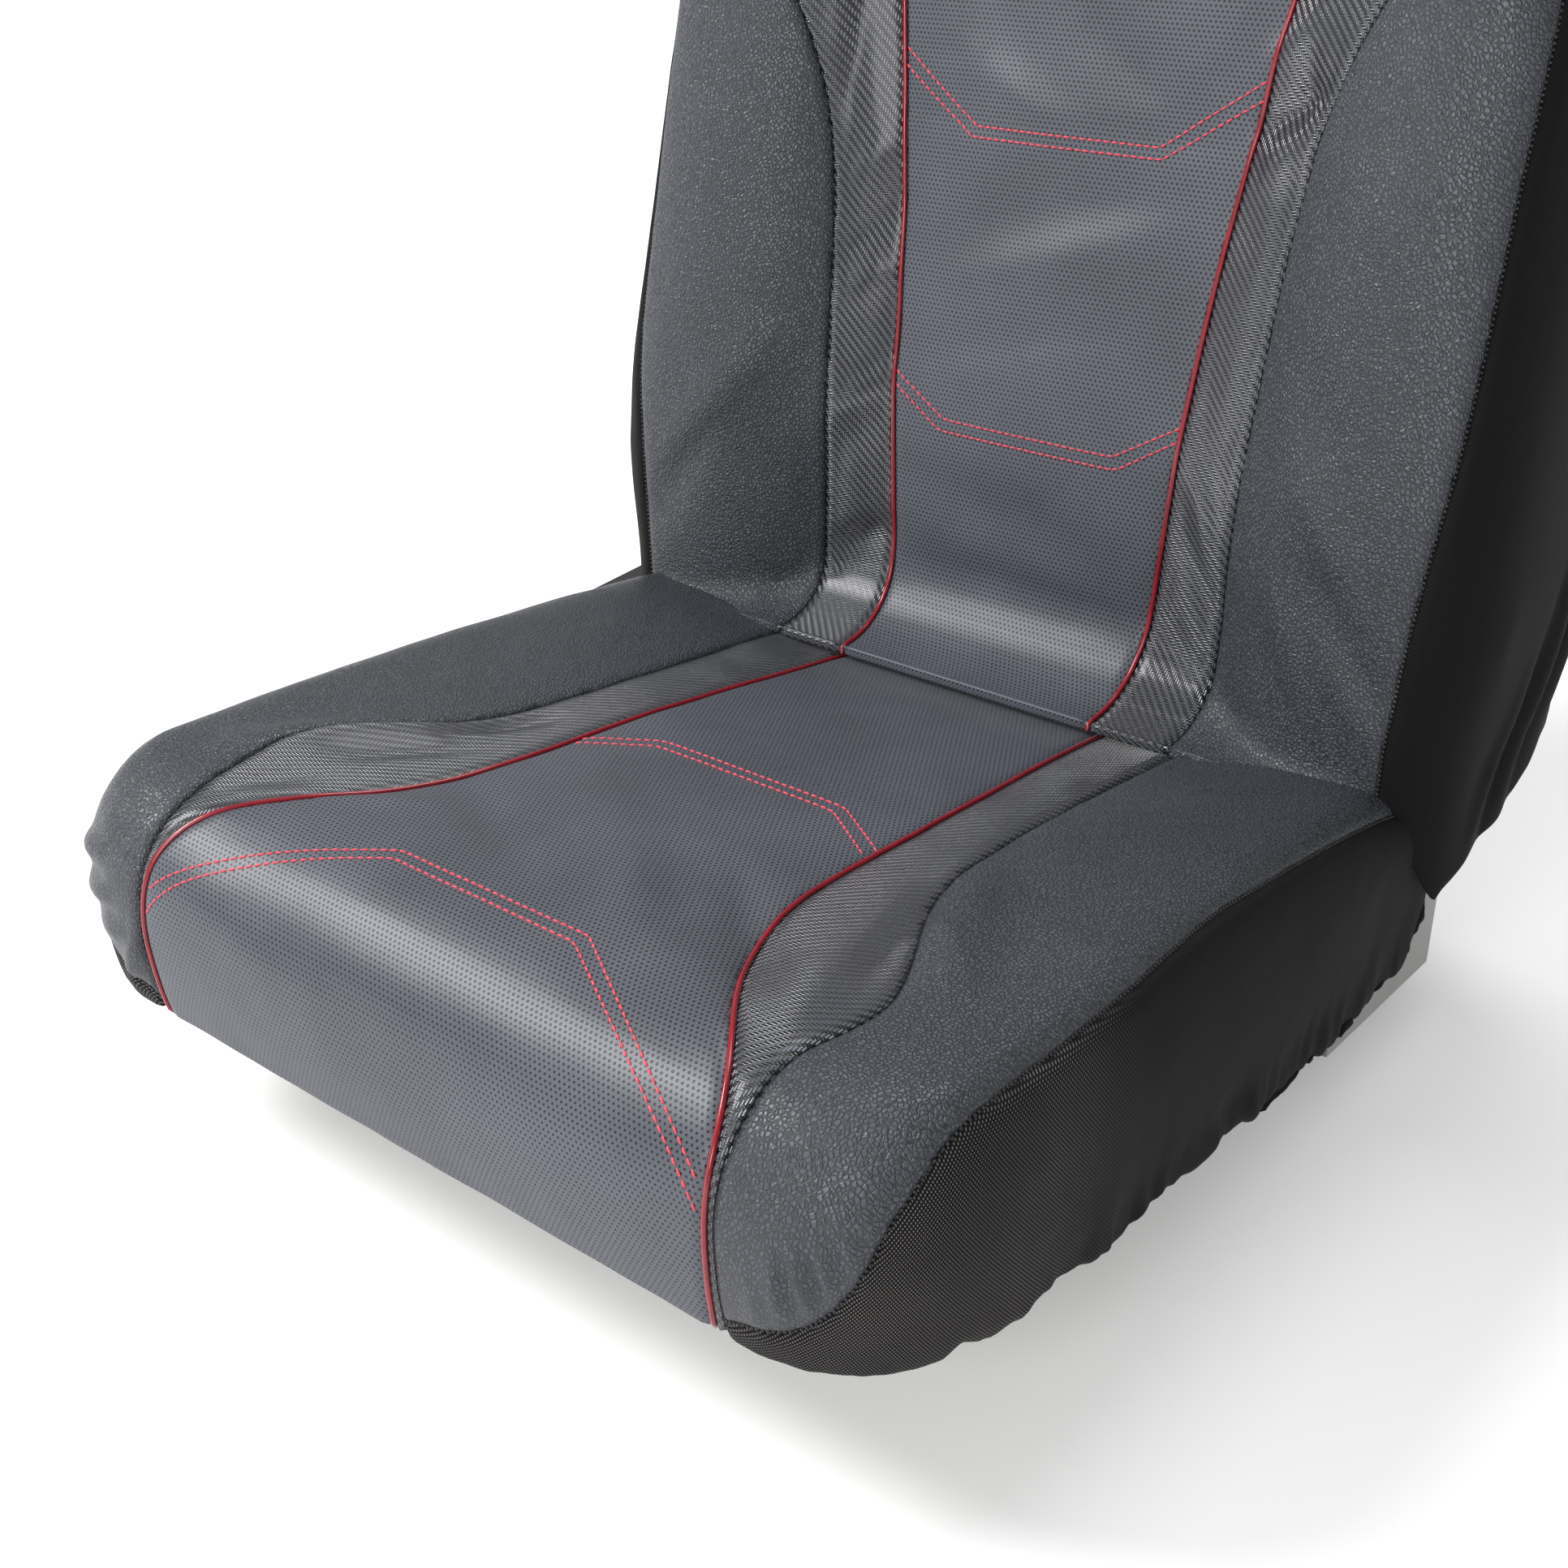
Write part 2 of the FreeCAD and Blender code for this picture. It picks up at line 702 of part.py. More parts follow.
centre_inside = front_inside(shifted(back_piping_seam, -PIPE_SLOT))
piping_over = front_inside(shifted(back_piping_seam, PIPE_SLOT))
insert_within = front_inside(shifted(back_insert_seam, -HALF_SEAM))
insert_over = front_inside(shifted(back_insert_seam, HALF_SEAM))
edge_within = front_inside(shifted(back_edge_seam, -HALF_SEAM))
edge_over = front_inside(shifted(back_edge_seam, HALF_SEAM))
right_half = Part.makeBox(FAR, 1500, 2500, Vector(0, -700, -500))


# the headrest's guide sleeves stand along the lean of the back, through the top of covers and foam
LEAN = math.radians(size("back_lean"))
ALONG = Vector(0, math.sin(LEAN), math.cos(LEAN))
SIDES = (-1, 1)


def on_post(side, rise):
    """A point on a headrest post's axis, a distance above the point where it leaves the back's top."""
    return at(side * size("post_spread"), size("sleeve_reach"), TOP) + ALONG * rise


def post_rods(radius, low, high):
    """Two rods on the posts' axes between two rises."""
    rods = [Part.makeCylinder(radius, high - low, on_post(side, low), ALONG) for side in SIDES]
    return rods[0].fuse(rods[1])


collar_low = -size("sleeve_sink")
collar_holes = post_rods(size("sleeve_collar_radius") + size("cover_gap"), collar_low - size("cover_gap"), 60)
front_shell = front_shell.common(edge_within).common(mirror_image(edge_within))
centre_front = front_shell.common(centre_inside).common(mirror_image(centre_inside))
feature("back_centre_panel", centre_front.cut(collar_holes))
back_insert = feature("back_insert_right", front_shell.common(insert_within).cut(piping_over))
mirrored(back_insert, "back_insert_left")
back_bolster = feature("back_bolster_cover_right", front_shell.cut(insert_over).common(right_half))
mirrored(back_bolster, "back_bolster_cover_left")
back_side_shape = back_shell.cut(edge_over).common(right_half)
feature("back_side_panel_right", back_side_shape)
shaft_hole = Part.makeCylinder(
    size("shaft_radius") + size("shaft_gap"), 200, Vector(-400, PIVOT_Y, PIVOT_Z), Vector(1, 0, 0)
)
feature("back_side_panel_left", mirror_image(back_side_shape).cut(shaft_hole))
rear_panel = rear_shell.common(edge_within).common(mirror_image(edge_within))
feature("back_rear_panel", rear_panel.cut(collar_holes))
raised_back = whole_back(-size("piping_proud")).cut(cushion_clear).cut(flap_gap.fuse(front_gap))
pipe_slot = front_inside(shifted(back_piping_seam, HALF_P))
pipe_slot = pipe_slot.cut(front_inside(shifted(back_piping_seam, -HALF_P)))
back_pipe = raised_back.cut(back_inner).common(front_half(0)).common(pipe_slot)
back_pipe = back_pipe.common(edge_within)
back_piping = feature("back_piping_right", back_pipe)
mirrored(back_piping, "back_piping_left")

# Back foam: the form under the covers, hollowed from behind for the back frame, with nothing below the bight
AMPLE = 400
foam_back = whole_back(foam_inset).cut(cushion_clear)
cavity_top = size("back_member_top") + 20
foam_plane = size("back_recess") + 3 + size("back_foam_depth")
slope = math.tan(math.radians(size("back_lean")))
cavity_half = size("back_cavity_half")
cavity_line = [
    at(-cavity_half, foam_plane - 2, -150),
    at(-cavity_half, foam_plane, 150),
    at(-cavity_half, foam_plane + slope * (cavity_top - 150), cavity_top),
    at(-cavity_half, 400, cavity_top),
    at(-cavity_half, 400, -150),
]
cavity = Part.Face(Part.makePolygon(cavity_line + cavity_line[:1])).extrude(Vector(2 * cavity_half, 0, 0))
hub_room = Part.makeCylinder(
    size("recliner_radius") + 4, 2 * cavity_half, Vector(-cavity_half, PIVOT_Y, PIVOT_Z), Vector(1, 0, 0)
)
foam_floor = size("bight_gap") + foam_inset
rear_foot = at(-AMPLE, size("back_foam_step"), size("back_foam_foot") - AMPLE)
foam_foot = Part.makeBox(2 * AMPLE, AMPLE, AMPLE, rear_foot)
foam_foot = foam_foot.fuse(Part.makeBox(2 * AMPLE, 2 * AMPLE, AMPLE, at(-AMPLE, -AMPLE, foam_floor - AMPLE)))
sleeve_room = post_rods(size("sleeve_radius") + size("cover_gap"), -size("sleeve_length") - 20, 10)
foam_back = foam_back.cut(cavity).cut(hub_room).cut(foam_foot).cut(sleeve_room).cut(collar_holes)
feature("back_foam", foam_back)


# Rigid parts: sketched bodies whose corners are tied to the sheet

def plane(item, role):
    """One of a body's own origin planes or axes."""
    for candidate in item.Origin.OriginFeatures:
        if candidate.Role == role:
            return candidate
    raise RuntimeError("no " + role)


def body(label, x="0 mm"):
    """An empty body that stands at a given x."""
    item = document.addObject("PartDesign::Body", label)
    return bind(item, Placement__Base__x=x)


def tie(sketch, geometry, point, rules, tag):
    """Fixes a sketched point to two rules of the sheet."""
    for kind, rule in zip(("DistanceX", "DistanceY"), rules):
        value = float(sketch.evalExpression(rule))
        number = sketch.addConstraint(Sketcher.Constraint(kind, -1, 1, geometry, point, value))
        name = "%s%s" % (tag, kind[-1])
        sketch.renameConstraint(number, name)
        sketch.setExpression("Constraints." + name, rule)


def sketched(item, role, name, corners=(), circle=None):
    """A sketch on an origin plane: a closed outline through corners, or one circle, tied to the sheet."""
    sketch = item.newObject("Sketcher::SketchObject", name)
    sketch.AttachmentSupport = [(plane(item, role), "")]
    sketch.MapMode = "FlatFace"
    document.recompute()
    spots = [Vector(*[float(sketch.evalExpression(rule)) for rule in corner], 0) for corner in corners]
    count = len(spots)
    for index in range(count):
        sketch.addGeometry(Part.LineSegment(spots[index], spots[(index + 1) % count]), False)
    for index in range(count):
        sketch.addConstraint(Sketcher.Constraint("Coincident", index, 2, (index + 1) % count, 1))
    for index, corner in enumerate(corners):
        tie(sketch, index, 1, corner, "corner%d" % index)
    if circle:
        middle = Vector(*[float(sketch.evalExpression(rule)) for rule in circle[:2]], 0)
        radius = float(sketch.evalExpression(circle[2]))
        sketch.addGeometry(Part.Circle(middle, Vector(0, 0, 1), radius), False)
        tie(sketch, 0, 3, circle[:2], "middle")
        sketch.addConstraint(Sketcher.Constraint("Radius", 0, radius))
        sketch.renameConstraint(sketch.ConstraintCount - 1, "radius")
        sketch.setExpression("Constraints.radius", circle[2])
    return sketch


def pad(item, sketch, length, midplane=False, backwards=False):
    """Adds material to a body by padding a sketch."""
    grown = item.newObject("PartDesign::Pad", sketch.Name + "_pad")
    grown.Profile = sketch
    grown.Midplane = midplane
    grown.Reversed = backwards
    grown.setExpression("Length", length)
    document.recompute()
    return grown


def pocket(item, sketch, midplane=True):
    """Cuts a sketch right through a body."""
    cut = item.newObject("PartDesign::Pocket", sketch.Name + "_cut")
    cut.Profile = sketch
    cut.Type = 1
    cut.Midplane = midplane
    document.recompute()
    return cut


def row(item, cut, axis, length, count):
    """Repeats a cut along one of the body's axes."""
    line = item.newObject("PartDesign::LinearPattern", cut.Name + "_row")
    line.Originals = [cut]
    line.Direction = (plane(item, axis), [""])
    line.setExpression("Length", length)
    line.Occurrences = count
    item.Tip = line
    document.recompute()
    return line


PIVOT = ("sizes.bight_y + sizes.pivot_reach", "sizes.bight_z - sizes.pivot_drop")
RAIL_TOP = "sizes.foot_thickness + sizes.rail_height"
SLIDE_TOP = RAIL_TOP + " + sizes.slide_top_rise"
SEAT_TOP = "sizes.bight_z - sizes.cushion_foam_depth - sizes.cover_gap"


def joined(*rules):
    """Sheet rules added up."""
    return " + ".join("(%s)" % rule for rule in rules)


def both_sides(half):
    """An outline given for x above zero, with its mirror image."""
    return list(half) + [("-(%s)" % u, v) for u, v in reversed(half)]


# Floor rails: a C section with inward lips and a notched latch flange
floor_rail = body("floor_rail_body", "sizes.rail_spread")
side = "sizes.rail_width / 2"
inner_side = side + " - sizes.rail_wall"
mouth = "sizes.rail_mouth / 2"
lip_side = mouth + " + sizes.rail_wall"
channel = sketched(floor_rail, "XZ_Plane", "rail_section", [
    (side, "sizes.foot_thickness"),
    (side, RAIL_TOP),
    (mouth, RAIL_TOP),
    (mouth, RAIL_TOP + " - sizes.rail_lip"),
    (lip_side, RAIL_TOP + " - sizes.rail_lip"),
    (lip_side, RAIL_TOP + " - sizes.rail_wall"),
    (inner_side, RAIL_TOP + " - sizes.rail_wall"),
    (inner_side, "sizes.foot_thickness + sizes.rail_wall"),
    ("-(%s)" % inner_side, "sizes.foot_thickness + sizes.rail_wall"),
    ("-(%s)" % inner_side, RAIL_TOP + " - sizes.rail_wall"),
    ("-(%s)" % lip_side, RAIL_TOP + " - sizes.rail_wall"),
    ("-(%s)" % lip_side, RAIL_TOP + " - sizes.rail_lip"),
    ("-(%s)" % mouth, RAIL_TOP + " - sizes.rail_lip"),
    ("-(%s)" % mouth, RAIL_TOP),
    ("-(%s)" % side, RAIL_TOP),
    ("-(%s)" % side, "sizes.foot_thickness"),
])
pad(floor_rail, channel, "sizes.rail_length", midplane=True)
flange_out = "-(%s) - sizes.latch_flange" % side
flange = sketched(floor_rail, "XZ_Plane", "latch_flange_section", [
    (flange_out, "sizes.latch_height"),
    ("-(%s) + 1" % side, "sizes.latch_height"),
    ("-(%s) + 1" % side, "sizes.latch_height + sizes.rail_wall"),
    (flange_out, "sizes.latch_height + sizes.rail_wall"),
])
pad(floor_rail, flange, "sizes.rail_length * 0.8", midplane=True)
NOTCHES = 13
notch_end = "-%d * sizes.notch_pitch" % (NOTCHES // 2)
notch = sketched(floor_rail, "XY_Plane", "notch_outline", [
    (flange_out + " - 1", notch_end + " - sizes.notch_width / 2"),
    ("-(%s) - 4" % side, notch_end + " - sizes.notch_width / 2"),
    ("-(%s) - 4" % side, notch_end + " + sizes.notch_width / 2"),
    (flange_out + " - 1", notch_end + " + sizes.notch_width / 2"),
])
row(floor_rail, pocket(floor_rail, notch), "Y_Axis", "%d * sizes.notch_pitch" % (NOTCHES - 1), NOTCHES)
pair(floor_rail, "floor_rail")

# Rail feet: four plates with bolt holes
plate = bind(
    document.addObject("Part::Box", "foot_plate"),
    Length="sizes.rail_spread + sizes.rail_width / 2 - sizes.foot_inner",
    Width="sizes.foot_length",
    Height="sizes.foot_thickness",
    Placement__Base__x="sizes.foot_inner",
    Placement__Base__y="sizes.bolt_reach - sizes.foot_length / 2",
)
drill = bind(
    document.addObject("Part::Cylinder", "foot_drill"),
    Radius="sizes.foot_hole_radius",
    Height="sizes.foot_thickness",
    Placement__Base__x="sizes.bolt_spread",
    Placement__Base__y="sizes.bolt_reach",
)
foot = document.addObject("Part::Cut", "foot")
foot.Base = plate
foot.Tool = drill
front_foot = document.addObject("Part::Mirroring", "front_foot")
front_foot.Source = foot
front_foot.Normal = Vector(0, 1, 0)
feet_right = document.addObject("Part::Compound", "feet_right")
feet_right.Links = [foot, front_foot]
feet_left = document.addObject("Part::Mirroring", "feet_left")
feet_left.Source = feet_right
feet_left.Normal = Vector(1, 0, 0)
feet = document.addObject("Part::Compound", "rail_feet")
feet.Links = [feet_right, feet_left]
keep(feet, "rail_feet")

# Slide rails: a stem through the mouth, a running plate below, a top flange for the seat
slide_rail = body("slide_rail_body", "sizes.rail_spread")
stem = "sizes.slide_stem / 2"
bulb = "sizes.slide_bulb / 2"
run_low = "sizes.foot_thickness + sizes.rail_wall + 2 * (sizes.roller_radius + sizes.roller_gap)"
run_high = run_low + " + sizes.slide_plate"
slide_half = [
    (bulb, run_low),
    (bulb, run_high),
    (stem, run_high),
    (stem, SLIDE_TOP + " - sizes.slide_plate"),
    ("sizes.slide_top_width / 2", SLIDE_TOP + " - sizes.slide_plate"),
    ("sizes.slide_top_width / 2", SLIDE_TOP),
]
slide_section = sketched(slide_rail, "XZ_Plane", "slide_section", both_sides(slide_half))
pad(slide_rail, slide_section, "sizes.slide_length", midplane=True)
pair(slide_rail, "slide_rail")

# Roller cages: a strip with pairs of rollers in its windows, between running plate and rail floor
CAGE_ROWS = 4
roller = size("roller_radius")
roller_z = size("foot_thickness") + size("rail_wall") + roller + size("roller_gap")
roller_length = size("slide_bulb") / 2 - 5
cage_half = 0.5 * CAGE_ROWS * size("roller_pitch") - 5
cage_width = size("slide_bulb") - 1
cage = Part.makeBox(
    cage_width, 2 * cage_half, 2, Vector(size("rail_spread") - cage_width / 2, -cage_half, roller_z - 1)
)
rollers = []
for step in range(CAGE_ROWS):
    for side_sign in SIDES:
        middle_x = size("rail_spread") + side_sign * cage_width / 4
        roller_y = (step - 0.5 * (CAGE_ROWS - 1)) * size("roller_pitch")
        spot = Vector(middle_x - roller_length / 2, roller_y, roller_z)
        room = size("running_gap")
        cage = cage.cut(Part.makeBox(
            roller_length + 2 * room, 2 * (roller + room), 4, spot - Vector(room, roller + room, 2)
        ))
        rollers.append(Part.makeCylinder(roller, roller_length, spot, Vector(1, 0, 0)))
roller_cage = feature("roller_cage_right", Part.makeCompound([cage] + rollers))
mirrored(roller_cage, "roller_cage_left")

# Seat side members: a web with a round boss at the recliner, a foot flange and a top flange
member = body("seat_member_body", "sizes.member_spread")
web = sketched(member, "YZ_Plane", "member_web", [
    ("sizes.bight_y - sizes.member_reach", SEAT_TOP),
    ("sizes.bight_y - sizes.member_reach", SEAT_TOP + " - 20"),
    ("-sizes.slide_length / 2", SLIDE_TOP),
    ("sizes.slide_length / 2 - 12", SLIDE_TOP),
    (PIVOT[0] + " + 0.88 * sizes.recliner_radius", PIVOT[1] + " - 0.4 * sizes.recliner_radius"),
    (PIVOT[0] + " + 0.4 * sizes.recliner_radius", PIVOT[1] + " + 0.8 * sizes.recliner_radius"),
    (PIVOT[0] + " - 0.8 * sizes.recliner_radius", PIVOT[1] + " + 0.45 * sizes.recliner_radius"),
    (PIVOT[0] + " - 1.45 * sizes.recliner_radius", SEAT_TOP),
])
pad(member, web, "sizes.member_plate")
boss = sketched(member, "YZ_Plane", "member_boss", circle=PIVOT + ("sizes.recliner_radius",))
pad(member, boss, "sizes.member_plate")
foot_flange = sketched(member, "YZ_Plane", "member_foot", [
    ("-sizes.slide_length / 2", SLIDE_TOP),
    ("sizes.slide_length / 2 - 12", SLIDE_TOP),
    ("sizes.slide_length / 2 - 12", SLIDE_TOP + " + sizes.member_plate"),
    ("-sizes.slide_length / 2", SLIDE_TOP + " + sizes.member_plate"),
])
pad(member, foot_flange, "sizes.member_flange - sizes.member_plate", backwards=True)
top_flange = sketched(member, "YZ_Plane", "member_top", [
    ("-sizes.front_tube_reach", SEAT_TOP + " - sizes.member_plate"),
    ("sizes.rear_tube_reach + 20", SEAT_TOP + " - sizes.member_plate"),
    ("sizes.rear_tube_reach + 20", SEAT_TOP),
    ("-sizes.front_tube_reach", SEAT_TOP),
])
pad(member, top_flange, "sizes.member_flange / 2", backwards=True)
bore = sketched(member, "YZ_Plane", "member_bore", circle=PIVOT + ("sizes.shaft_radius + sizes.shaft_gap",))
pocket(member, bore)
window = sketched(
    member, "YZ_Plane", "member_window",
    circle=("-sizes.window_reach", "(%s + %s) / 2" % (SLIDE_TOP, SEAT_TOP), "sizes.window_radius"),
)
row(member, pocket(member, window), "Y_Axis", "sizes.window_span", 3)
pair(member, "seat_member")

# Front pan: a tray between the members with turned-down edges
pan = body("seat_pan")
pan_front = "sizes.bight_y - sizes.member_reach"
pan_rear = pan_front + " + sizes.pan_length"
pan_section = sketched(pan, "YZ_Plane", "pan_section", [
    (pan_front, SEAT_TOP),
    (pan_front, SEAT_TOP + " - sizes.pan_depth"),
    (pan_front + " + sizes.pan_plate", SEAT_TOP + " - sizes.pan_depth"),
    (pan_front + " + sizes.pan_plate", SEAT_TOP + " - sizes.pan_plate"),
    (pan_rear + " - sizes.pan_plate", SEAT_TOP + " - sizes.pan_plate"),
    (pan_rear + " - sizes.pan_plate", SEAT_TOP + " - sizes.pan_depth"),
    (pan_rear, SEAT_TOP + " - sizes.pan_depth"),
    (pan_rear, SEAT_TOP),
])
pad(pan, pan_section, "2 * sizes.member_spread", midplane=True)
keep(pan, "seat_pan")


def cross_tube(label, radius, wall, half, y, z):
    """A tube across the seat, from -half to +half; without a wall it is a solid bar."""
    outer = document.addObject("Part::Cylinder", label + "_outer")
    outer.Placement.Rotation = Rotation(Vector(0, 1, 0), 90)
    spot = {"Placement__Base__x": "-(%s)" % half, "Placement__Base__y": y, "Placement__Base__z": z}
    bind(outer, Radius=radius, Height="2 * (%s)" % half, **spot)
    if wall is None:
        return keep(outer, label)
    inner = document.addObject("Part::Cylinder", label + "_inner")
    inner.Placement.Rotation = Rotation(Vector(0, 1, 0), 90)
    bind(inner, Radius="%s - %s" % (radius, wall), Height="2 * (%s)" % half, **spot)
    tube = document.addObject("Part::Cut", label)
    tube.Base = outer
    tube.Tool = inner
    return keep(tube, label)


SPRING_Z = SEAT_TOP + " - sizes.spring_wire"
cross_tube(
    "seat_tube_front", "sizes.frame_tube_radius", "sizes.tube_wall", "sizes.member_spread",
    "-sizes.front_tube_reach", "sizes.front_tube_height",
)
cross_tube(
    "seat_tube_rear", "sizes.frame_tube_radius", "sizes.tube_wall", "sizes.member_spread",
    "sizes.rear_tube_reach", SPRING_Z + " - sizes.spring_wire - sizes.frame_tube_radius",
)
cross_tube(
    "back_tube_upper", "sizes.back_tube_radius", "sizes.tube_wall",
    "sizes.member_spread + sizes.member_plate + 2 * sizes.recliner_half_thickness + sizes.recliner_gap",
    "sizes.bight_y + sizes.sleeve_reach - 2", "sizes.bight_z + sizes.back_cross_level",
)
cross_tube(
    "back_tube_lower", "sizes.back_tube_radius", "sizes.tube_wall",
    "sizes.member_spread + sizes.member_plate + 2 * sizes.recliner_half_thickness + sizes.recliner_gap",
    "sizes.bight_y + sizes.pivot_reach + 20", PIVOT[1] + " + sizes.back_lower_cross",
)
LIFT_RUN = "(sizes.adjuster_reach - sizes.adjuster_pivot_reach)"
cross_tube(
    "adjuster_bar", "sizes.adjuster_tube_radius", None, "sizes.adjuster_spread",
    "-sizes.adjuster_pivot_reach - %s * cos(sizes.adjuster_lift)" % LIFT_RUN,
    "sizes.adjuster_height + %s * sin(sizes.adjuster_lift)" % LIFT_RUN,
)

# Seat springs: zigzag wires from the pan's rear edge over the rear tube
wire = size("spring_wire")
swing = size("spring_swing")
pitch = size("spring_pitch")
spring_z = size("bight_z") - size("cushion_foam_depth") - size("cover_gap") - wire
spring_start = BIGHT_Y - size("member_reach") + size("pan_length")
spring_end = size("rear_tube_reach") + size("frame_tube_radius") + 2
bend = 0.5 * pitch
RUNS = int((spring_end - spring_start - 4 * bend) / pitch)


def spring_path(middle):
    """The centre line of one zigzag spring."""
    edges = []
    side_now = -1
    y = spring_start + 2 * bend
    corner = Vector(middle - swing, y - bend, spring_z)
    edges.append(straight(Vector(middle - swing, spring_start, spring_z), corner))
    half_run = swing - bend
    turn = bend * math.sqrt(0.5)
    mid = Vector(middle - half_run - turn, y - bend + turn, spring_z)
    edges.append(span(corner, mid, Vector(middle - half_run, y, spring_z)))
    for run in range(RUNS):
        far = Vector(middle - side_now * half_run, y, spring_z)
        edges.append(straight(Vector(middle + side_now * half_run, y, spring_z), far))
        side_now = -side_now
        if run < RUNS - 1:
            peak = Vector(middle + side_now * swing, y + bend, spring_z)
            edges.append(span(far, peak, Vector(middle + side_now * half_run, y + pitch, spring_z)))
            y += pitch
    last = Vector(middle + side_now * swing, y + bend, spring_z)
    mid = Vector(middle + side_now * (half_run + turn), y + bend - turn, spring_z)
    edges.append(span(far, mid, last))
    edges.append(straight(last, Vector(middle + side_now * swing, spring_end, spring_z)))
    return Part.Wire(edges)


WIRE_SIDES = 8
springs = []
for place_x in (-1.5, -0.5, 0.5, 1.5):
    path = spring_path(place_x * size("spring_spread"))
    tip = path.Vertexes[0].Point
    corner_radius = wire / math.cos(math.pi / WIRE_SIDES)
    turns = [(2 * step + 1) * math.pi / WIRE_SIDES for step in range(WIRE_SIDES)]
    ring = [tip + Vector(corner_radius * math.cos(turn), 0, corner_radius * math.sin(turn)) for turn in turns]
    springs.append(path.makePipeShell([Part.makePolygon(ring + ring[:1])], True, False))
feature("seat_springs", Part.makeCompound(springs))


def disc(radius, x, length):
    """A disc on the recliner's axis."""
    return Part.makeCylinder(radius, length, Vector(x, PIVOT_Y, PIVOT_Z), Vector(1, 0, 0))


# Recliners: an inner half on the seat whose boss carries the outer half of the back
plate_x = size("member_spread") + size("member_plate")
thick = size("recliner_half_thickness")
recliner = size("recliner_radius")
outer_x = plate_x + thick + size("recliner_gap")
shaft_bore = size("shaft_radius") + size("shaft_gap")
boss_radius = size("recliner_boss_radius")
inner_half = disc(recliner, plate_x, thick)
inner_half = inner_half.fuse(disc(boss_radius, plate_x + thick, size("recliner_gap") + thick))
inner_half = inner_half.cut(disc(shaft_bore, plate_x - 1, 4 * thick))
recliner_inner = feature("recliner_inner_right", inner_half)
mirrored(recliner_inner, "recliner_inner_left")
boss_bore = boss_radius + size("running_gap")
outer_half = disc(recliner, outer_x, thick).cut(disc(boss_bore, outer_x - 1, 4 * thick))
recliner_outer = feature("recliner_outer_right", outer_half)
mirrored(recliner_outer, "recliner_outer_left")

# Back side members: a leaning web with a round foot at the recliner and a flange along its rear edge
OUTER_X = "sizes.member_spread + sizes.member_plate + 2 * sizes.recliner_half_thickness + sizes.recliner_gap"
FRONT_EDGE = "sizes.bight_y + sizes.back_recess + 3 + sizes.back_foam_depth + 0.5"
LEAN_RUN = "tan(sizes.back_lean) * (sizes.back_member_top - 150)"
back_member = body("back_member_body", OUTER_X)
back_web = sketched(back_member, "YZ_Plane", "back_web", [
    (PIVOT[0] + " - 23", PIVOT[1]),
    (PIVOT[0] + " + 23", PIVOT[1]),
    (FRONT_EDGE + " + sizes.back_member_width", "sizes.bight_z + 150"),
    (joined(FRONT_EDGE, "sizes.back_member_width", LEAN_RUN), "sizes.bight_z + sizes.back_member_top"),
    (joined(FRONT_EDGE, LEAN_RUN), "sizes.bight_z + sizes.back_member_top"),
    (FRONT_EDGE, "sizes.bight_z + 150"),
    (FRONT_EDGE, "sizes.bight_z + 20"),
])
pad(back_member, back_web, "sizes.back_member_plate")
back_boss = sketched(back_member, "YZ_Plane", "back_boss", circle=PIVOT + ("sizes.recliner_radius",))
pad(back_member, back_boss, "sizes.back_member_plate")
rear_edge = FRONT_EDGE + " + sizes.back_member_width"
rear_flange = sketched(back_member, "YZ_Plane", "back_flange", [
    (rear_edge, "sizes.bight_z + 150"),
    (joined(rear_edge, LEAN_RUN), "sizes.bight_z + sizes.back_member_top"),
    (joined(rear_edge, LEAN_RUN, "-sizes.back_member_plate"), "sizes.bight_z + sizes.back_member_top"),
    (rear_edge + " - sizes.back_member_plate", "sizes.bight_z + 150"),
])
pad(back_member, rear_flange, "sizes.back_member_flange", backwards=True)
back_bore = sketched(
    back_member, "YZ_Plane", "back_bore", circle=PIVOT + ("sizes.shaft_radius + sizes.shaft_gap",)
)
pocket(back_member, back_bore)
pair(back_member, "back_member")

# Back wires: straight spring wires across the frame, close behind the foam
wire_radius = size("back_wire_radius")
wires = []
level = 160.0
while level < size("back_cross_level") - 40:
    wire_y = foam_plane + slope * (level - 150) + wire_radius / math.cos(LEAN) + size("cover_gap")
    wire_half = outer_x + thick
    wires.append(Part.makeCylinder(wire_radius, 2 * wire_half, at(-wire_half, wire_y, level), Vector(1, 0, 0)))
    level += size("back_wire_pitch")
feature("back_wires", Part.makeCompound(wires))

# Headrest guide sleeves in brackets on the upper cross tube
collar_high = size("sleeve_collar") - size("sleeve_sink")
sleeves_outer = post_rods(size("sleeve_radius"), -size("sleeve_length"), 0)
sleeves_outer = sleeves_outer.fuse(post_rods(size("sleeve_collar_radius"), collar_low, collar_high))
bores = post_rods(size("post_radius") + size("post_gap"), -size("sleeve_length") - 50, 50)
sleeves = sleeves_outer.cut(bores)
button_rise = collar_high - size("button_radius") - 1.5
button_axis = on_post(1, button_rise)
button_inside = size("post_radius") + 3.3
button_hole = Part.makeCylinder(
    size("button_radius") + size("running_gap"), 30, button_axis, Vector(1, 0, 0)
)
left_half = mirror_image(right_half)
feature("guide_sleeve_right", sleeves.common(right_half).cut(button_hole))
feature("guide_sleeve_left", sleeves.common(left_half))
cross_y = size("sleeve_reach") - 2
cross_z = size("back_cross_level")
holders = []
for side_sign in SIDES:
    block_x = side_sign * size("post_spread") - size("bracket_width") / 2
    corner = at(block_x, cross_y - 0.63 * size("bracket_depth"), cross_z - 0.35 * size("bracket_height"))
    holders.append(Part.makeBox(size("bracket_width"), size("bracket_depth"), size("bracket_height"), corner))
holder = Part.makeCompound(holders)
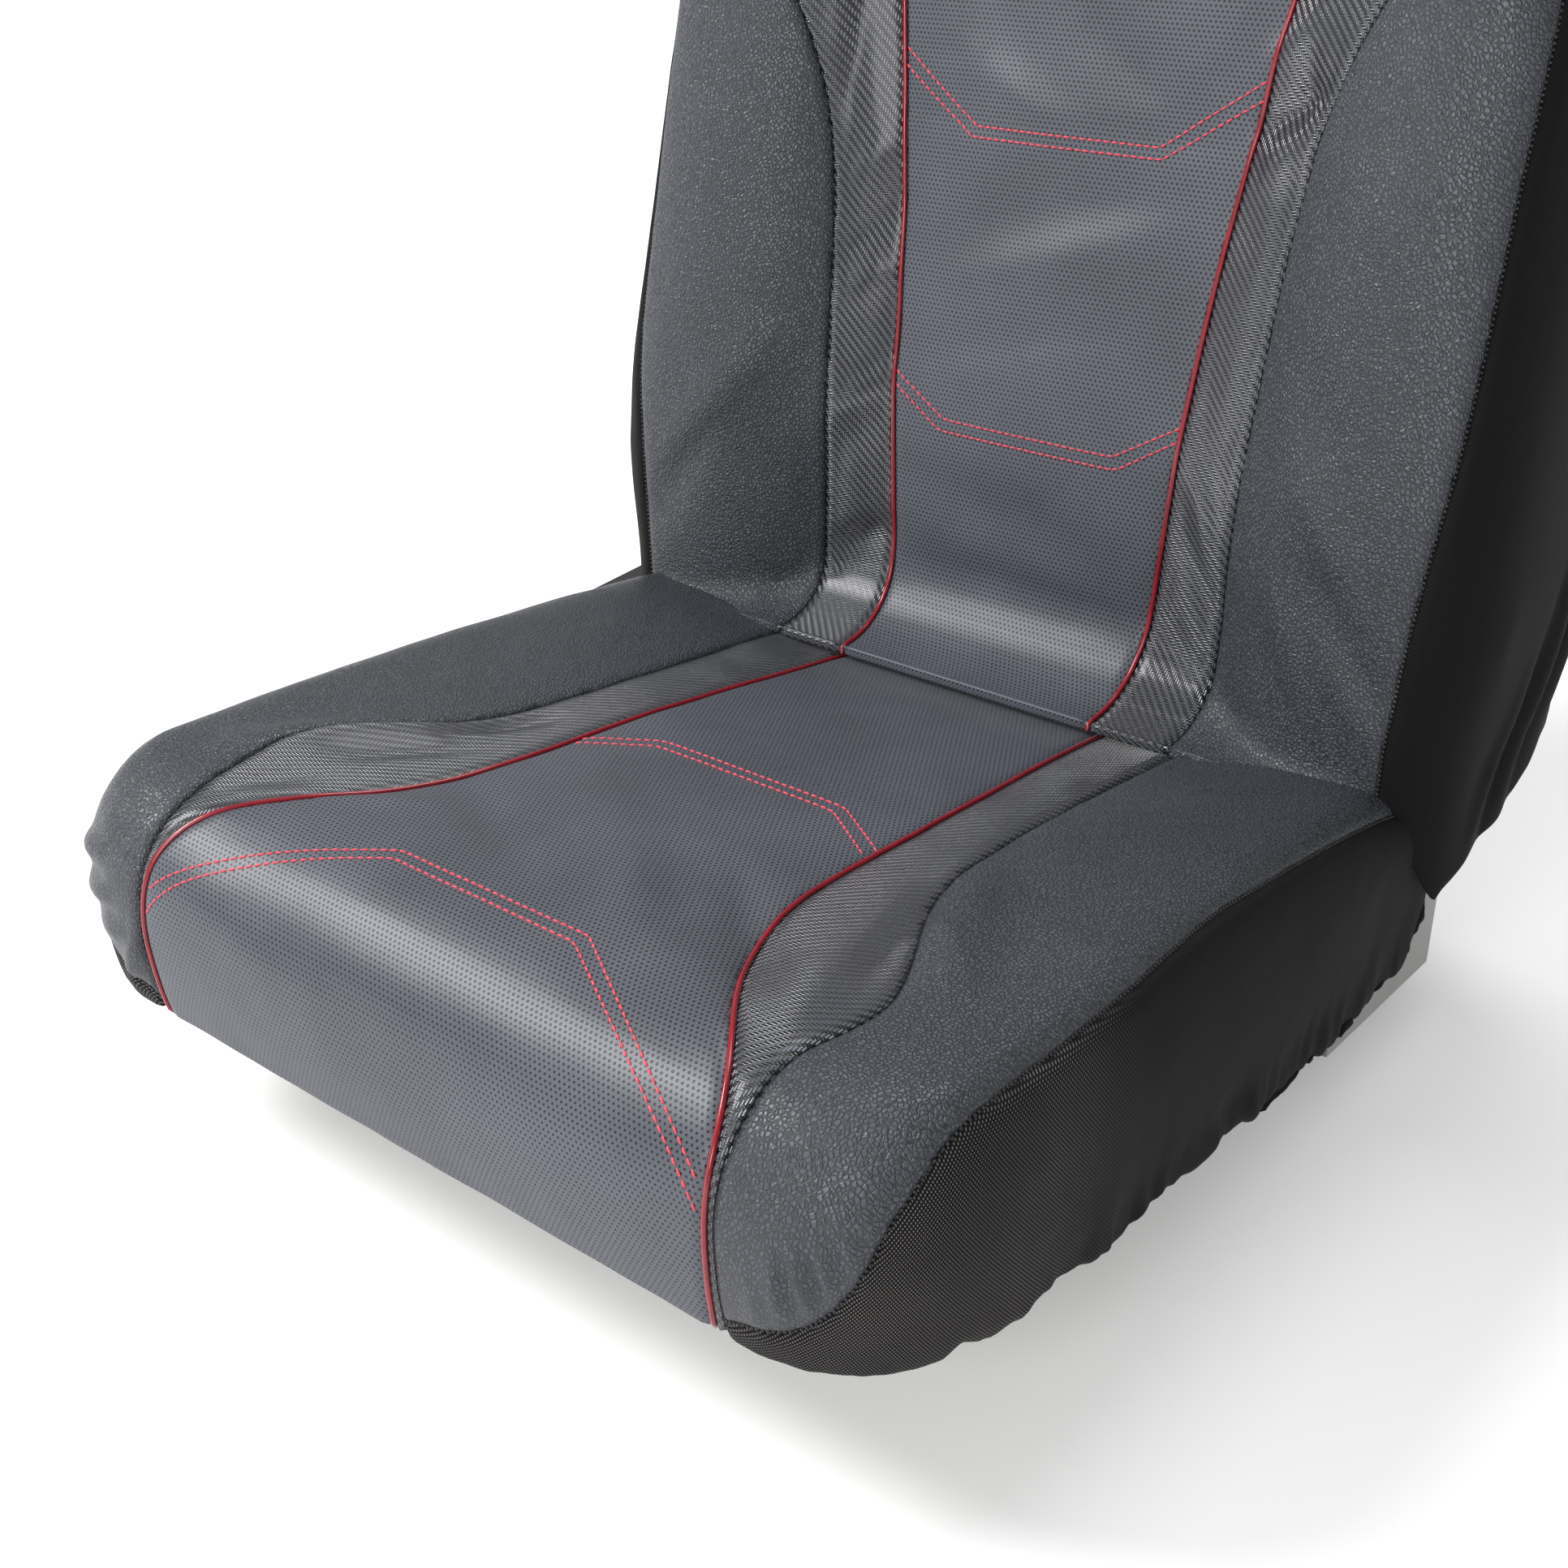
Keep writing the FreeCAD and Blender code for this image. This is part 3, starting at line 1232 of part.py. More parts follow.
tube_room = Part.makeCylinder(size("back_tube_radius"), 500, at(-250, cross_y, cross_z), Vector(1, 0, 0))
holder = holder.cut(tube_room).cut(post_rods(size("sleeve_radius"), -size("sleeve_length"), 0))
holder = holder.cut(post_rods(size("post_radius") + 0.6, -size("post_length"), 0))
feature("sleeve_brackets", holder)
button = Part.makeCylinder(
    size("button_radius"), size("button_length"), button_axis + Vector(button_inside, 0, 0), Vector(1, 0, 0)
)
feature("release_button", button)

# Headrest: posts joined inside the foam, foam, a cover with a perforated centre
HEAD_HALF = 0.5 * size("headrest_height")
HEAD_DEEP = 0.5 * size("headrest_depth")
head_middle = size("headrest_gap") + HEAD_HALF
post_top = head_middle + 0.1 * HEAD_HALF


def head_section(x, shrink):
    """One upright section of the headrest about its middle, drawn in all round by shrink."""
    deep = HEAD_DEEP - shrink
    tall = HEAD_HALF - shrink
    corner = 0.72 * deep
    offset = corner * (1 - math.sqrt(0.5))
    spots = [
        (deep, -tall + corner), (deep + 4, 0), (deep, tall - corner),
        (deep - offset, tall - offset), (deep - corner, tall),
        (0, tall + 3), (-deep + corner, tall),
        (-deep + offset, tall - offset), (-deep, tall - corner),
        (-deep - 7, 0.15 * tall), (-deep, -tall + corner),
        (-deep + offset, -tall + offset), (-deep + corner, -tall),
        (0, -tall - 2), (deep - corner, -tall),
        (deep - offset, -tall + offset),
    ]
    points = [Vector(x, v, w) for v, w in spots]
    count = len(points)
    edges = [span(points[i], points[i + 1], points[(i + 2) % count]) for i in range(0, count, 2)]
    return Part.Wire(edges)


def head_form(inset):
    """The headrest as one soft solid, leaning with the back."""
    roll = size("headrest_roll") - inset
    crest_x = size("headrest_half_width") - size("headrest_roll")
    half = [(0.55 * crest_x, 0)]
    half += [(crest_x + roll * math.sin(math.radians(a)), a) for a in ROLL_TURNS]
    stations = [(-x, a) for x, a in reversed(half)] + half
    sections = []
    for x, a in stations:
        sections.append(head_section(x, inset + 0.8 * roll * (1 - math.cos(math.radians(a)))))
    form = Part.makeLoft(sections, True, False)
    middle = (on_post(-1, head_middle) + on_post(1, head_middle)) * 0.5
    form.Placement = Placement(middle, Rotation(Vector(1, 0, 0), -size("back_lean")))
    return form


post_run = 2 * size("post_spread")
post_bar = Part.makeCylinder(size("post_radius"), post_run, on_post(-1, post_top), Vector(1, 0, 0))
posts = post_rods(size("post_radius"), post_top - size("post_length"), post_top).fuse(post_bar)
posts = posts.fuse(Part.makeSphere(size("post_radius"), on_post(-1, post_top)))
posts = posts.fuse(Part.makeSphere(size("post_radius"), on_post(1, post_top)))
feature("headrest_posts", posts)
post_slack = size("post_radius") + size("post_gap")
post_room = post_rods(post_slack, -20, post_top).fuse(
    Part.makeCylinder(post_slack, 2 * size("post_spread"), on_post(-1, post_top), Vector(1, 0, 0))
)
for side_sign in SIDES:
    post_room = post_room.fuse(Part.makeSphere(post_slack, on_post(side_sign, post_top)))
head_foam = head_form(foam_inset).cut(post_room)
feature("headrest_foam", head_foam)
head_shell = head_form(0).cut(head_form(size("cover_thickness")))
head_shell = head_shell.cut(post_rods(size("post_radius") + 0.5, -20, head_middle))


def head_zone(half, deep):
    """The space of the headrest's centre panel: its front and top, between two upright seams."""
    block = Part.makeBox(2 * half, 200, 400, Vector(-half, -200 - deep, -200))
    middle = (on_post(-1, head_middle) + on_post(1, head_middle)) * 0.5
    block.Placement = Placement(middle, Rotation(Vector(1, 0, 0), -size("back_lean")))
    return block


feature("headrest_centre_panel", head_shell.common(head_zone(size("headrest_panel"), size("seam_gap"))))
feature("headrest_cover", head_shell.cut(head_zone(size("headrest_panel") + size("seam_gap"), 0)))

# Recline lever on the end of the cross shaft, and the shaft through both recliners
LEVER_X = "sizes.back_foot_half_width + sizes.lever_gap"
lever = body("recline_lever", "-(%s) - sizes.lever_plate" % LEVER_X)
arm = sketched(lever, "YZ_Plane", "lever_arm", [
    (PIVOT[0], PIVOT[1] + " - sizes.lever_width / 2 - 2"),
    (PIVOT[0], PIVOT[1] + " + sizes.lever_width / 2 + 2"),
    (PIVOT[0] + " - 0.6 * sizes.lever_length", PIVOT[1] + " + sizes.lever_width / 2 - 5"),
    (PIVOT[0] + " - sizes.lever_length", PIVOT[1] + " + sizes.lever_width / 2 - 9"),
    (PIVOT[0] + " - sizes.lever_length", PIVOT[1] + " - sizes.lever_width / 2 - 5"),
    (PIVOT[0] + " - 0.6 * sizes.lever_length", PIVOT[1] + " - sizes.lever_width / 2"),
])
pad(lever, arm, "sizes.lever_plate")
hub = sketched(lever, "YZ_Plane", "lever_hub", circle=PIVOT + ("sizes.lever_width / 2 + 5",))
pad(lever, hub, "sizes.lever_plate")
lever_bore = sketched(lever, "YZ_Plane", "lever_bore", circle=PIVOT + ("sizes.shaft_radius",))
pocket(lever, lever_bore)
keep(lever, "recline_lever")
shaft = document.addObject("Part::Cylinder", "cross_shaft")
shaft.Placement.Rotation = Rotation(Vector(0, 1, 0), 90)
bind(
    shaft,
    Radius="sizes.shaft_radius",
    Height=joined(LEVER_X, "sizes.lever_plate", OUTER_X),
    Placement__Base__x="-(%s) - sizes.lever_plate" % LEVER_X,
    Placement__Base__y=PIVOT[0],
    Placement__Base__z=PIVOT[1],
)
keep(shaft, "cross_shaft")

# Adjuster arms: lift bar in front, latch teeth behind the pivot, and the pins they turn on.
# They are sketched latched, then turned about the pins to the released end of their travel.
HINGE = ("-sizes.adjuster_pivot_reach", "sizes.adjuster_height")
ARM_HALF = "sizes.adjuster_arm_height / 2"
TAIL_TOP = "sizes.latch_height - 3"
TOOTH_TOP = "sizes.latch_height + sizes.rail_wall + 1.5"
arm_plate = body("adjuster_arm_body", "sizes.adjuster_spread")
arm_outline = sketched(arm_plate, "YZ_Plane", "arm_outline", [
    ("-sizes.adjuster_reach - sizes.adjuster_tube_radius", HINGE[1] + " + " + ARM_HALF),
    ("-sizes.adjuster_reach - sizes.adjuster_tube_radius", HINGE[1] + " - " + ARM_HALF),
    (HINGE[0] + " - 12", HINGE[1] + " - " + ARM_HALF),
    (HINGE[0] + " + 14", TAIL_TOP + " - 9"),
    ("8", TAIL_TOP + " - 9"),
    ("8", TAIL_TOP),
    (HINGE[0] + " + 28", TAIL_TOP),
    (HINGE[0] + " + 12", HINGE[1] + " + " + ARM_HALF),
])
pad(arm_plate, arm_outline, "sizes.adjuster_arm_plate")
shelf = sketched(arm_plate, "YZ_Plane", "latch_shelf", [
    ("8", TAIL_TOP + " - 5"),
    ("8", TAIL_TOP),
    ("-sizes.notch_pitch - 8", TAIL_TOP),
    ("-sizes.notch_pitch - 8", TAIL_TOP + " - 5"),
])
pad(arm_plate, shelf, "sizes.latch_shelf")
tooth = sketched(arm_plate, "YZ_Plane", "latch_tooth", [
    ("sizes.notch_width / 4", TAIL_TOP + " - 1"),
    ("sizes.notch_width / 4", TOOTH_TOP),
    ("-sizes.notch_width / 4", TOOTH_TOP),
    ("-sizes.notch_width / 4", TAIL_TOP + " - 1"),
])
tooth.setExpression("AttachmentOffset.Base.z", "sizes.latch_shelf - sizes.tooth_plate")
document.recompute()
tooth_pad = pad(arm_plate, tooth, "sizes.tooth_plate")
tooth_row = row(arm_plate, tooth_pad, "Y_Axis", "sizes.notch_pitch", 2)
tooth_row.Reversed = True
document.recompute()
arm_bore = sketched(
    arm_plate, "YZ_Plane", "arm_bore", circle=HINGE + ("sizes.adjuster_pin_radius + sizes.running_gap",)
)
pocket(arm_plate, arm_bore)
arm_plate.Placement.Rotation = Rotation(Vector(1, 0, 0), -size("adjuster_lift"))
KEPT = "(1 - cos(sizes.adjuster_lift))"
TURNED = "sin(sizes.adjuster_lift)"
bind(
    arm_plate,
    Placement__Base__y="(%s) * %s - (%s) * %s" % (HINGE[0], KEPT, HINGE[1], TURNED),
    Placement__Base__z="(%s) * %s + (%s) * %s" % (HINGE[1], KEPT, HINGE[0], TURNED),
)
document.recompute()
pair(arm_plate, "adjuster_arm")
pin = document.addObject("Part::Cylinder", "adjuster_pin_shank")
pin.Placement.Rotation = Rotation(Vector(0, 1, 0), 90)
bind(
    pin,
    Radius="sizes.adjuster_pin_radius",
    Height="sizes.member_spread - sizes.adjuster_spread",
    Placement__Base__x="sizes.adjuster_spread",
    Placement__Base__y=HINGE[0],
    Placement__Base__z=HINGE[1],
)
head = document.addObject("Part::Cylinder", "adjuster_pin_head")
head.Placement.Rotation = Rotation(Vector(0, 1, 0), 90)
bind(
    head,
    Radius="sizes.adjuster_pin_radius + 3",
    Height="2.5",
    Placement__Base__x="sizes.adjuster_spread - 2.5 - sizes.running_gap",
    Placement__Base__y=HINGE[0],
    Placement__Base__z=HINGE[1],
)
neck = document.addObject("Part::Cylinder", "adjuster_pin_neck")
neck.Placement.Rotation = Rotation(Vector(0, 1, 0), 90)
bind(
    neck,
    Radius="sizes.adjuster_pin_radius",
    Height="2",
    Placement__Base__x="sizes.adjuster_spread - 2",
    Placement__Base__y=HINGE[0],
    Placement__Base__z=HINGE[1],
)
pin_right = document.addObject("Part::MultiFuse", "adjuster_pin_right")
pin_right.Shapes = [pin, head, neck]
pin_left = document.addObject("Part::Mirroring", "adjuster_pin_left")
pin_left.Source = pin_right
pin_left.Normal = Vector(1, 0, 0)
pins = document.addObject("Part::Compound", "adjuster_pins")
pins.Links = [pin_right, pin_left]
keep(pins, "adjuster_pins")

# Recliner shields: plastic covers over the brackets at the seat's rear corners
shield = body("recliner_shield_body")
MEMBER_OUT = "sizes.member_spread + sizes.member_plate"
SHIELD_TOP = PIVOT[1] + " - sizes.recliner_radius - 5"
LOW_X = "sizes.rail_spread + sizes.rail_width / 2 + 3"
cap = sketched(shield, "XZ_Plane", "shield_cap", [
    (MEMBER_OUT, SHIELD_TOP),
    ("sizes.shield_out", SHIELD_TOP + " - 8"),
    ("sizes.shield_out", "sizes.shield_low"),
    ("sizes.shield_out - sizes.shield_wall", "sizes.shield_low"),
    ("sizes.shield_out - sizes.shield_wall", SHIELD_TOP + " - 8 - sizes.shield_wall"),
    (MEMBER_OUT, SHIELD_TOP + " - sizes.shield_wall"),
])
pad(shield, cap, "sizes.shield_length", midplane=True)
end_wall = [
    (MEMBER_OUT, SHIELD_TOP),
    ("sizes.shield_out", SHIELD_TOP + " - 8"),
    ("sizes.shield_out", "sizes.shield_low"),
    (LOW_X, "sizes.shield_low"),
    (LOW_X, SLIDE_TOP + " + 4"),
    (MEMBER_OUT, SLIDE_TOP + " + 4"),
]
shield_ends = {
    "shield_front_wall": "sizes.shield_length / 2 - sizes.shield_wall",
    "shield_rear_wall": "-sizes.shield_length / 2",
}
for name, offset in shield_ends.items():
    wall = sketched(shield, "XZ_Plane", name, end_wall)
    wall.setExpression("AttachmentOffset.Base.z", offset)
    document.recompute()
    pad(shield, wall, "sizes.shield_wall")
bind(shield, Placement__Base__y="sizes.shield_front + sizes.shield_length / 2")
pair(shield, "recliner_shield")

# Check every object, then write each sub-part
document.recompute()
for item in document.Objects:
    if "Invalid" in item.State or "Error" in item.State:
        raise RuntimeError("%s failed: %s" % (item.Label, item.State))
for item in nodes:
    if item.Shape.isNull() or not item.Shape.isValid() or not item.Shape.Solids:
        raise RuntimeError("%s has no valid solid" % item.Label)
os.makedirs("parts", exist_ok=True)
for item in nodes:
    item.Shape.exportStep("parts/" + item.Label + ".step")
    print(item.Label, len(item.Shape.Solids), "solids", round(item.Shape.Volume / 1000, 1), "cm3")
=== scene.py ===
import json
import logging
import math
from dataclasses import dataclass
from enum import Enum, IntEnum
from typing import Callable, Sequence

import bmesh
import bpy
import numpy as np
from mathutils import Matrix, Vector, noise
from mathutils.bvhtree import BVHTree
from mathutils.kdtree import KDTree


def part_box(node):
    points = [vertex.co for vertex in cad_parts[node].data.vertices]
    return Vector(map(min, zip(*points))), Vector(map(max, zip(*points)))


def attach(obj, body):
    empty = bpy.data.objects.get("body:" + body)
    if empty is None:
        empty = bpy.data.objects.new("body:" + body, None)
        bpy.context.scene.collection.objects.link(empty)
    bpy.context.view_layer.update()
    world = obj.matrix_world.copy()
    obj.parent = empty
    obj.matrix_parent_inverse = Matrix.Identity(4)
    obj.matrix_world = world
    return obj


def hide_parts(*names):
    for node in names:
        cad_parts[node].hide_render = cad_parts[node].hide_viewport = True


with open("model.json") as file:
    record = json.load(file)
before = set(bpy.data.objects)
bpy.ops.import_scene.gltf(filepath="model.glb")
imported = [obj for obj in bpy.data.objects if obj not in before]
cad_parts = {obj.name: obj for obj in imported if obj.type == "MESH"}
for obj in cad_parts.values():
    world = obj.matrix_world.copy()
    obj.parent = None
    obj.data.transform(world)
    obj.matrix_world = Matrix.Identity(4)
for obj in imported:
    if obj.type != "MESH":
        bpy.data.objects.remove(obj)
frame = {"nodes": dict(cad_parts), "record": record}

log = logging.getLogger("sports_seat")

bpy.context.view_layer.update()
MM = 0.001
BIGHT = np.array((0.0, 55.0, 165.0))

SIDES = ((1, "right"), (-1, "left"))

# In millimetres: a cover's thickness, how far a form lies under its covers before it swells, how far it may
# swell, how wide a seam holds it, a distance that is beyond every hold, and the step along a seam.
COVER_WALL = 1.6
COVER_DROP = 3.0
COVER_CAP = 6.0
HOLD_WIDTH = 8.0
FAR_OFF = 99.0
PATH_STEP = 3.0

Color = tuple[float, float, float]
Place = tuple[float, float, float]
Measure = Callable[[np.ndarray], np.ndarray]


# ---------------------------------------------------------------- lines and measures


def smooth_line(points: Sequence[Sequence[float]], count: int = 160) -> np.ndarray:
    """Runs a natural cubic spline through points.

    Args:
        points: The places that the line passes, in order.
        count: How many places are given back.

    Returns:
        The places along the line, one row each.
    """
    through = np.array(points, float)
    knots = np.concatenate([[0.0], np.cumsum(np.linalg.norm(np.diff(through, axis=0), axis=1))])
    step = np.diff(knots)
    last = len(through) - 1
    system = np.eye(last + 1)
    right = np.zeros_like(through)
    for i in range(1, last):
        system[i, i - 1:i + 2] = step[i - 1], 2 * (step[i - 1] + step[i]), step[i]
        ahead_slope = (through[i + 1] - through[i]) / step[i]
        right[i] = 6 * (ahead_slope - (through[i] - through[i - 1]) / step[i - 1])
    bend = np.linalg.solve(system, right)
    where = np.linspace(0, knots[-1], count)
    cell = np.clip(np.searchsorted(knots, where, side="right") - 1, 0, last - 1)
    width = step[cell][:, None]
    ahead = (knots[cell + 1] - where)[:, None]
    behind = (where - knots[cell])[:, None]
    cubic = (bend[cell] * ahead ** 3 + bend[cell + 1] * behind ** 3) / (6 * width)
    first = (through[cell] / width - bend[cell] * width / 6) * ahead
    second = (through[cell + 1] / width - bend[cell + 1] * width / 6) * behind
    return cubic + first + second


def from_line(places: np.ndarray, line: np.ndarray) -> tuple[np.ndarray, np.ndarray]:
    """Measures flat places against an open line.

    Args:
        places: The places, one row of two numbers each.
        line: The line's points in order.

    Returns:
        The signed distance, positive on the left of the line's run, and the run up to the nearest point.
    """
    nearest = np.full(len(places), np.inf)
    signed = np.zeros(len(places))
    run = np.zeros(len(places))
    passed = 0.0
    for start, end in zip(line[:-1], line[1:]):
        along = end - start
        length = float(np.hypot(*along))
        offset = places - start
        share = np.clip((offset @ along) / (length * length), 0, 1)
        away = np.hypot(*(offset - share[:, None] * along).T)
        nearer = away < nearest
        side = np.sign(along[0] * offset[:, 1] - along[1] * offset[:, 0])
        nearest = np.where(nearer, away, nearest)
        signed = np.where(nearer, side * away, signed)
        run = np.where(nearer, passed + share * length, run)
        passed += length
    return signed, run


def inside_outline(places: np.ndarray, outline: np.ndarray) -> np.ndarray:
    """Says which flat places lie within a closed outline.

    Args:
        places: The places, one row of two numbers each.
        outline: The outline's corners in order.

    Returns:
        True for each place within it.
    """
    x, y = places.T
    inside = np.zeros(len(places), bool)
    for (x0, y0), (x1, y1) in zip(outline, np.roll(outline, -1, axis=0)):
        if y0 != y1:
            crosses = (y0 > y) != (y1 > y)
            inside ^= crosses & (x < (x1 - x0) * (y - y0) / (y1 - y0) + x0)
    return inside


def bowed(
    first: Sequence[float], middle: Sequence[float], last: Sequence[float], count: int
) -> list[np.ndarray]:
    """Walks an arc through three flat points, without its last point.

    Args:
        first: The arc's start.
        middle: A point on its way.
        last: Its end.
        count: How many points are given back.

    Returns:
        The points in order.
    """
    a, b, c = (np.array(p, float) for p in (first, middle, last))
    twice_area = (b[0] - a[0]) * (c[1] - a[1]) - (b[1] - a[1]) * (c[0] - a[0])
    shares = np.arange(count) / count
    if abs(twice_area) < 1e-3 * float(np.dot(c - a, c - a)):
        return [a + (c - a) * share for share in shares]
    squares = [float(np.dot(p, p)) for p in (a, b, c)]
    center = np.array((
        squares[0] * (b[1] - c[1]) + squares[1] * (c[1] - a[1]) + squares[2] * (a[1] - b[1]),
        squares[0] * (c[0] - b[0]) + squares[1] * (a[0] - c[0]) + squares[2] * (b[0] - a[0]),
    )) / (2 * twice_area)
    radius = float(np.hypot(*(a - center)))
    start, through, end = (math.atan2(p[1] - center[1], p[0] - center[0]) for p in (a, b, c))
    sweep = (end - start) % math.tau
    if (through - start) % math.tau > sweep:
        sweep -= math.tau
    turns = start + sweep * shares
    return [center + radius * np.array((math.cos(turn), math.sin(turn))) for turn in turns]


def eased(share: float) -> float:
    """A smooth step from 0 to 1."""
    share = min(max(share, 0.0), 1.0)
    return share * share * (3 - 2 * share)


class View(Enum):
    """The flat view in which a seam is drawn: the two axes that it uses."""

    PLAN = (0, 1)
    SIDE = (1, 2)
    FRONT = (0, 2)


class Panel(IntEnum):
    """The covers into which a skin is cut, and what is cut away."""

    CENTRE = 0
    INSERT = 1
    BOLSTER = 2
    SIDE = 3
    REAR = 4
    GONE = 5


@dataclass(frozen=True)
class Seam:
    """A sewing line in one flat view, in millimetres from the bight, the same on both sides of the seat."""

    view: View
    points: tuple[tuple[float, float], ...]

    def measure(self, places: np.ndarray) -> np.ndarray:
        """Signed distance from the seam, positive on its outer side.

        Args:
            places: Places in millimetres from the bight, one row each.

        Returns:
            The distances in millimetres.
        """
        flat = places[:, self.view.value]
        if self.view is not View.SIDE:
            flat[:, 0] = np.abs(flat[:, 0])
        return from_line(flat, smooth_line(self.points))[0]


# ---------------------------------------------------------------- mesh helpers


def new_object(name: str, mesh: bpy.types.Mesh) -> bpy.types.Object:
    """Puts a mesh in the scene under a name.

    Args:
        name: The object's name.
        mesh: The mesh.

    Returns:
        The object.
    """
    item = bpy.data.objects.new(name, mesh)
    bpy.context.scene.collection.objects.link(item)
    return item


def finished(name: str, work: bmesh.types.BMesh, smooth: bool = True) -> bpy.types.Object:
    """Turns a work mesh into an object at the origin.

    Args:
        name: The object's name.
        work: The work mesh, which is used up.
        smooth: Whether its faces are shaded smooth.

    Returns:
        The object.
    """
    mesh = bpy.data.meshes.new(name)
    for face in work.faces:
        face.smooth = smooth
    work.to_mesh(mesh)
    work.free()
    return new_object(name, mesh)


def lofted(rings: Sequence[np.ndarray]) -> bmesh.types.BMesh:
    """Joins rings of the same number of points into one skin, with both ends closed.

    Args:
        rings: The rings in order, each with its points in the frame, in metres.

    Returns:
        The work mesh.
    """
    work = bmesh.new()
    loops = []
    for ring in rings:
        made = bmesh.ops.create_circle(work, segments=len(ring), radius=1.0)["verts"]
        for vertex, place in zip(made, ring):
            vertex.co = place
        loops.append(list(dict.fromkeys(edge for vertex in made for edge in vertex.link_edges)))
    for near, far in zip(loops[:-1], loops[1:]):
        bmesh.ops.bridge_loops(work, edges=near + far)
    for loop in (loops[0], loops[-1]):
        bmesh.ops.contextual_create(work, geom=loop)
    bmesh.ops.recalc_face_normals(work, faces=work.faces)
    return work


def applied(item: bpy.types.Object) -> bpy.types.Mesh:
    """Gives the mesh that an object's modifiers make and removes the object.

    Args:
        item: The object.

    Returns:
        The mesh.
    """
    graph = bpy.context.evaluated_depsgraph_get()
    mesh = bpy.data.meshes.new_from_object(item.evaluated_get(graph))
    bpy.data.objects.remove(item)
    return mesh


def voxelled(name: str, works: Sequence[bmesh.types.BMesh], voxel: float) -> bpy.types.Mesh:
    """Joins closed work meshes into one evenly meshed skin.

    Args:
        name: The work object's name.
        works: The work meshes, which are used up.
        voxel: The mesh size in metres.

    Returns:
        The skin.
    """
    whole = bmesh.new()
    for work in works:
        mesh = bpy.data.meshes.new(name)
        work.to_mesh(mesh)
        work.free()
        whole.from_mesh(mesh)
        bpy.data.meshes.remove(mesh)
    item = finished(name, whole)
    remesh = item.modifiers.new("even", "REMESH")
    remesh.mode = "VOXEL"
    remesh.voxel_size = voxel
    return applied(item)


def node_copy(name: str) -> bmesh.types.BMesh:
    """A merged copy of a CAD node's mesh.

    Args:
        name: The node's name.

    Returns:
        The work mesh.
    """
    work = bmesh.new()
    work.from_mesh(frame["nodes"][name].data)
    bmesh.ops.remove_doubles(work, verts=work.verts, dist=1e-5)
    return work


def places_of(mesh: bpy.types.Mesh) -> np.ndarray:
    """A mesh's vertices in millimetres from the bight.

    Args:
        mesh: The mesh.

    Returns:
        One row for each vertex.
    """
    flat = np.empty(len(mesh.vertices) * 3, np.float32)
    mesh.vertices.foreach_get("co", flat)
    return flat.reshape(-1, 3).astype(float) / MM - BIGHT


def normals_of(mesh: bpy.types.Mesh) -> np.ndarray:
    """A mesh's vertex normals.

    Args:
        mesh: The mesh.

    Returns:
        One row for each vertex.
    """
    flat = np.empty(len(mesh.vertices) * 3, np.float32)
    mesh.vertex_normals.foreach_get("vector", flat)
    return flat.reshape(-1, 3).astype(float)


def move_to(mesh: bpy.types.Mesh, places: np.ndarray) -> None:
    """Sets a mesh's vertices from millimetres from the bight."""
    mesh.vertices.foreach_set("co", ((places + BIGHT) * MM).astype(np.float32).ravel())
    mesh.update()


def swelled(name: str, mesh: bpy.types.Mesh, held: np.ndarray, cap: float) -> bpy.types.Mesh:
    """Blows a closed soft form up between the places where it is sewn or held.

    Args:
        name: A name for the work object.
        mesh: The closed mesh.
        held: How firmly each vertex is held, from 0 to 1.
        cap: The furthest that a vertex may move, in millimetres.

    Returns:
        The swelled mesh.
    """
    last_frame = 16
    rest = places_of(mesh)
    item = new_object(name, mesh)
    group = item.vertex_groups.new(name="held")
    for level in np.unique(np.round(held, 1)):
        if level > 0:
            members = np.nonzero(np.round(held, 1) == level)[0]
            group.add([int(i) for i in members], float(level), "REPLACE")
    cloth = item.modifiers.new("cloth", "CLOTH")
    settings = cloth.settings
    settings.quality = 3
    settings.mass = 0.3
    settings.tension_stiffness = settings.compression_stiffness = 15
    settings.shear_stiffness = 8
    settings.bending_stiffness = 2.0
    settings.use_pressure = True
    settings.uniform_pressure_force = 4.0
    settings.vertex_group_mass = "held"
    settings.effector_weights.gravity = 0
    cloth.collision_settings.use_collision = False
    cloth.collision_settings.use_self_collision = False
    scene = bpy.context.scene
    for step in range(1, last_frame + 1):
        scene.frame_set(step)
    blown = applied(item)
    scene.frame_set(1)
    shift = places_of(blown) - rest
    length = np.linalg.norm(shift, axis=1)
    shift *= np.minimum(1.0, cap / np.maximum(length, 1e-6))[:, None]
    move_to(blown, rest + shift)
    return blown


def refined(name: str, mesh: bpy.types.Mesh) -> bpy.types.Mesh:
    """Divides a mesh once with Catmull-Clark smoothing.

    Args:
        name: The work object's name.
        mesh: The mesh.

    Returns:
        The finer mesh.
    """
    item = new_object(name, mesh)
    item.modifiers.new("finer", "SUBSURF").levels = 1
    return applied(item)


@dataclass(frozen=True)
class Fold:
    """A ridge in a cover between two places given from the bight, or a dent where its height is below zero."""

    start: Place
    end: Place
    width: float
    height: float

    def lift(self, places: np.ndarray) -> np.ndarray:
        """How far each place is lifted along its normal, in millimetres.

        Args:
            places: Places in millimetres from the bight, one row each.

        Returns:
            The lift of each place.
        """
        start, end = np.array(self.start), np.array(self.end)
        along = end - start
        share = np.clip((places - start) @ along / float(along @ along), 0, 1)
        away = np.linalg.norm(places - start - share[:, None] * along, axis=1)
        return self.height * np.exp(-(away / self.width) ** 2) * np.sin(np.pi * (0.08 + 0.84 * share)) ** 0.8


def ripple(places: np.ndarray, scale: Sequence[float], seed: float) -> np.ndarray:
    """Smooth noise from -1 to 1; scale is its length along each axis, in millimetres."""
    scaled = places / np.array(scale) + seed
    return np.array([noise.noise(Vector(row)) for row in scaled])


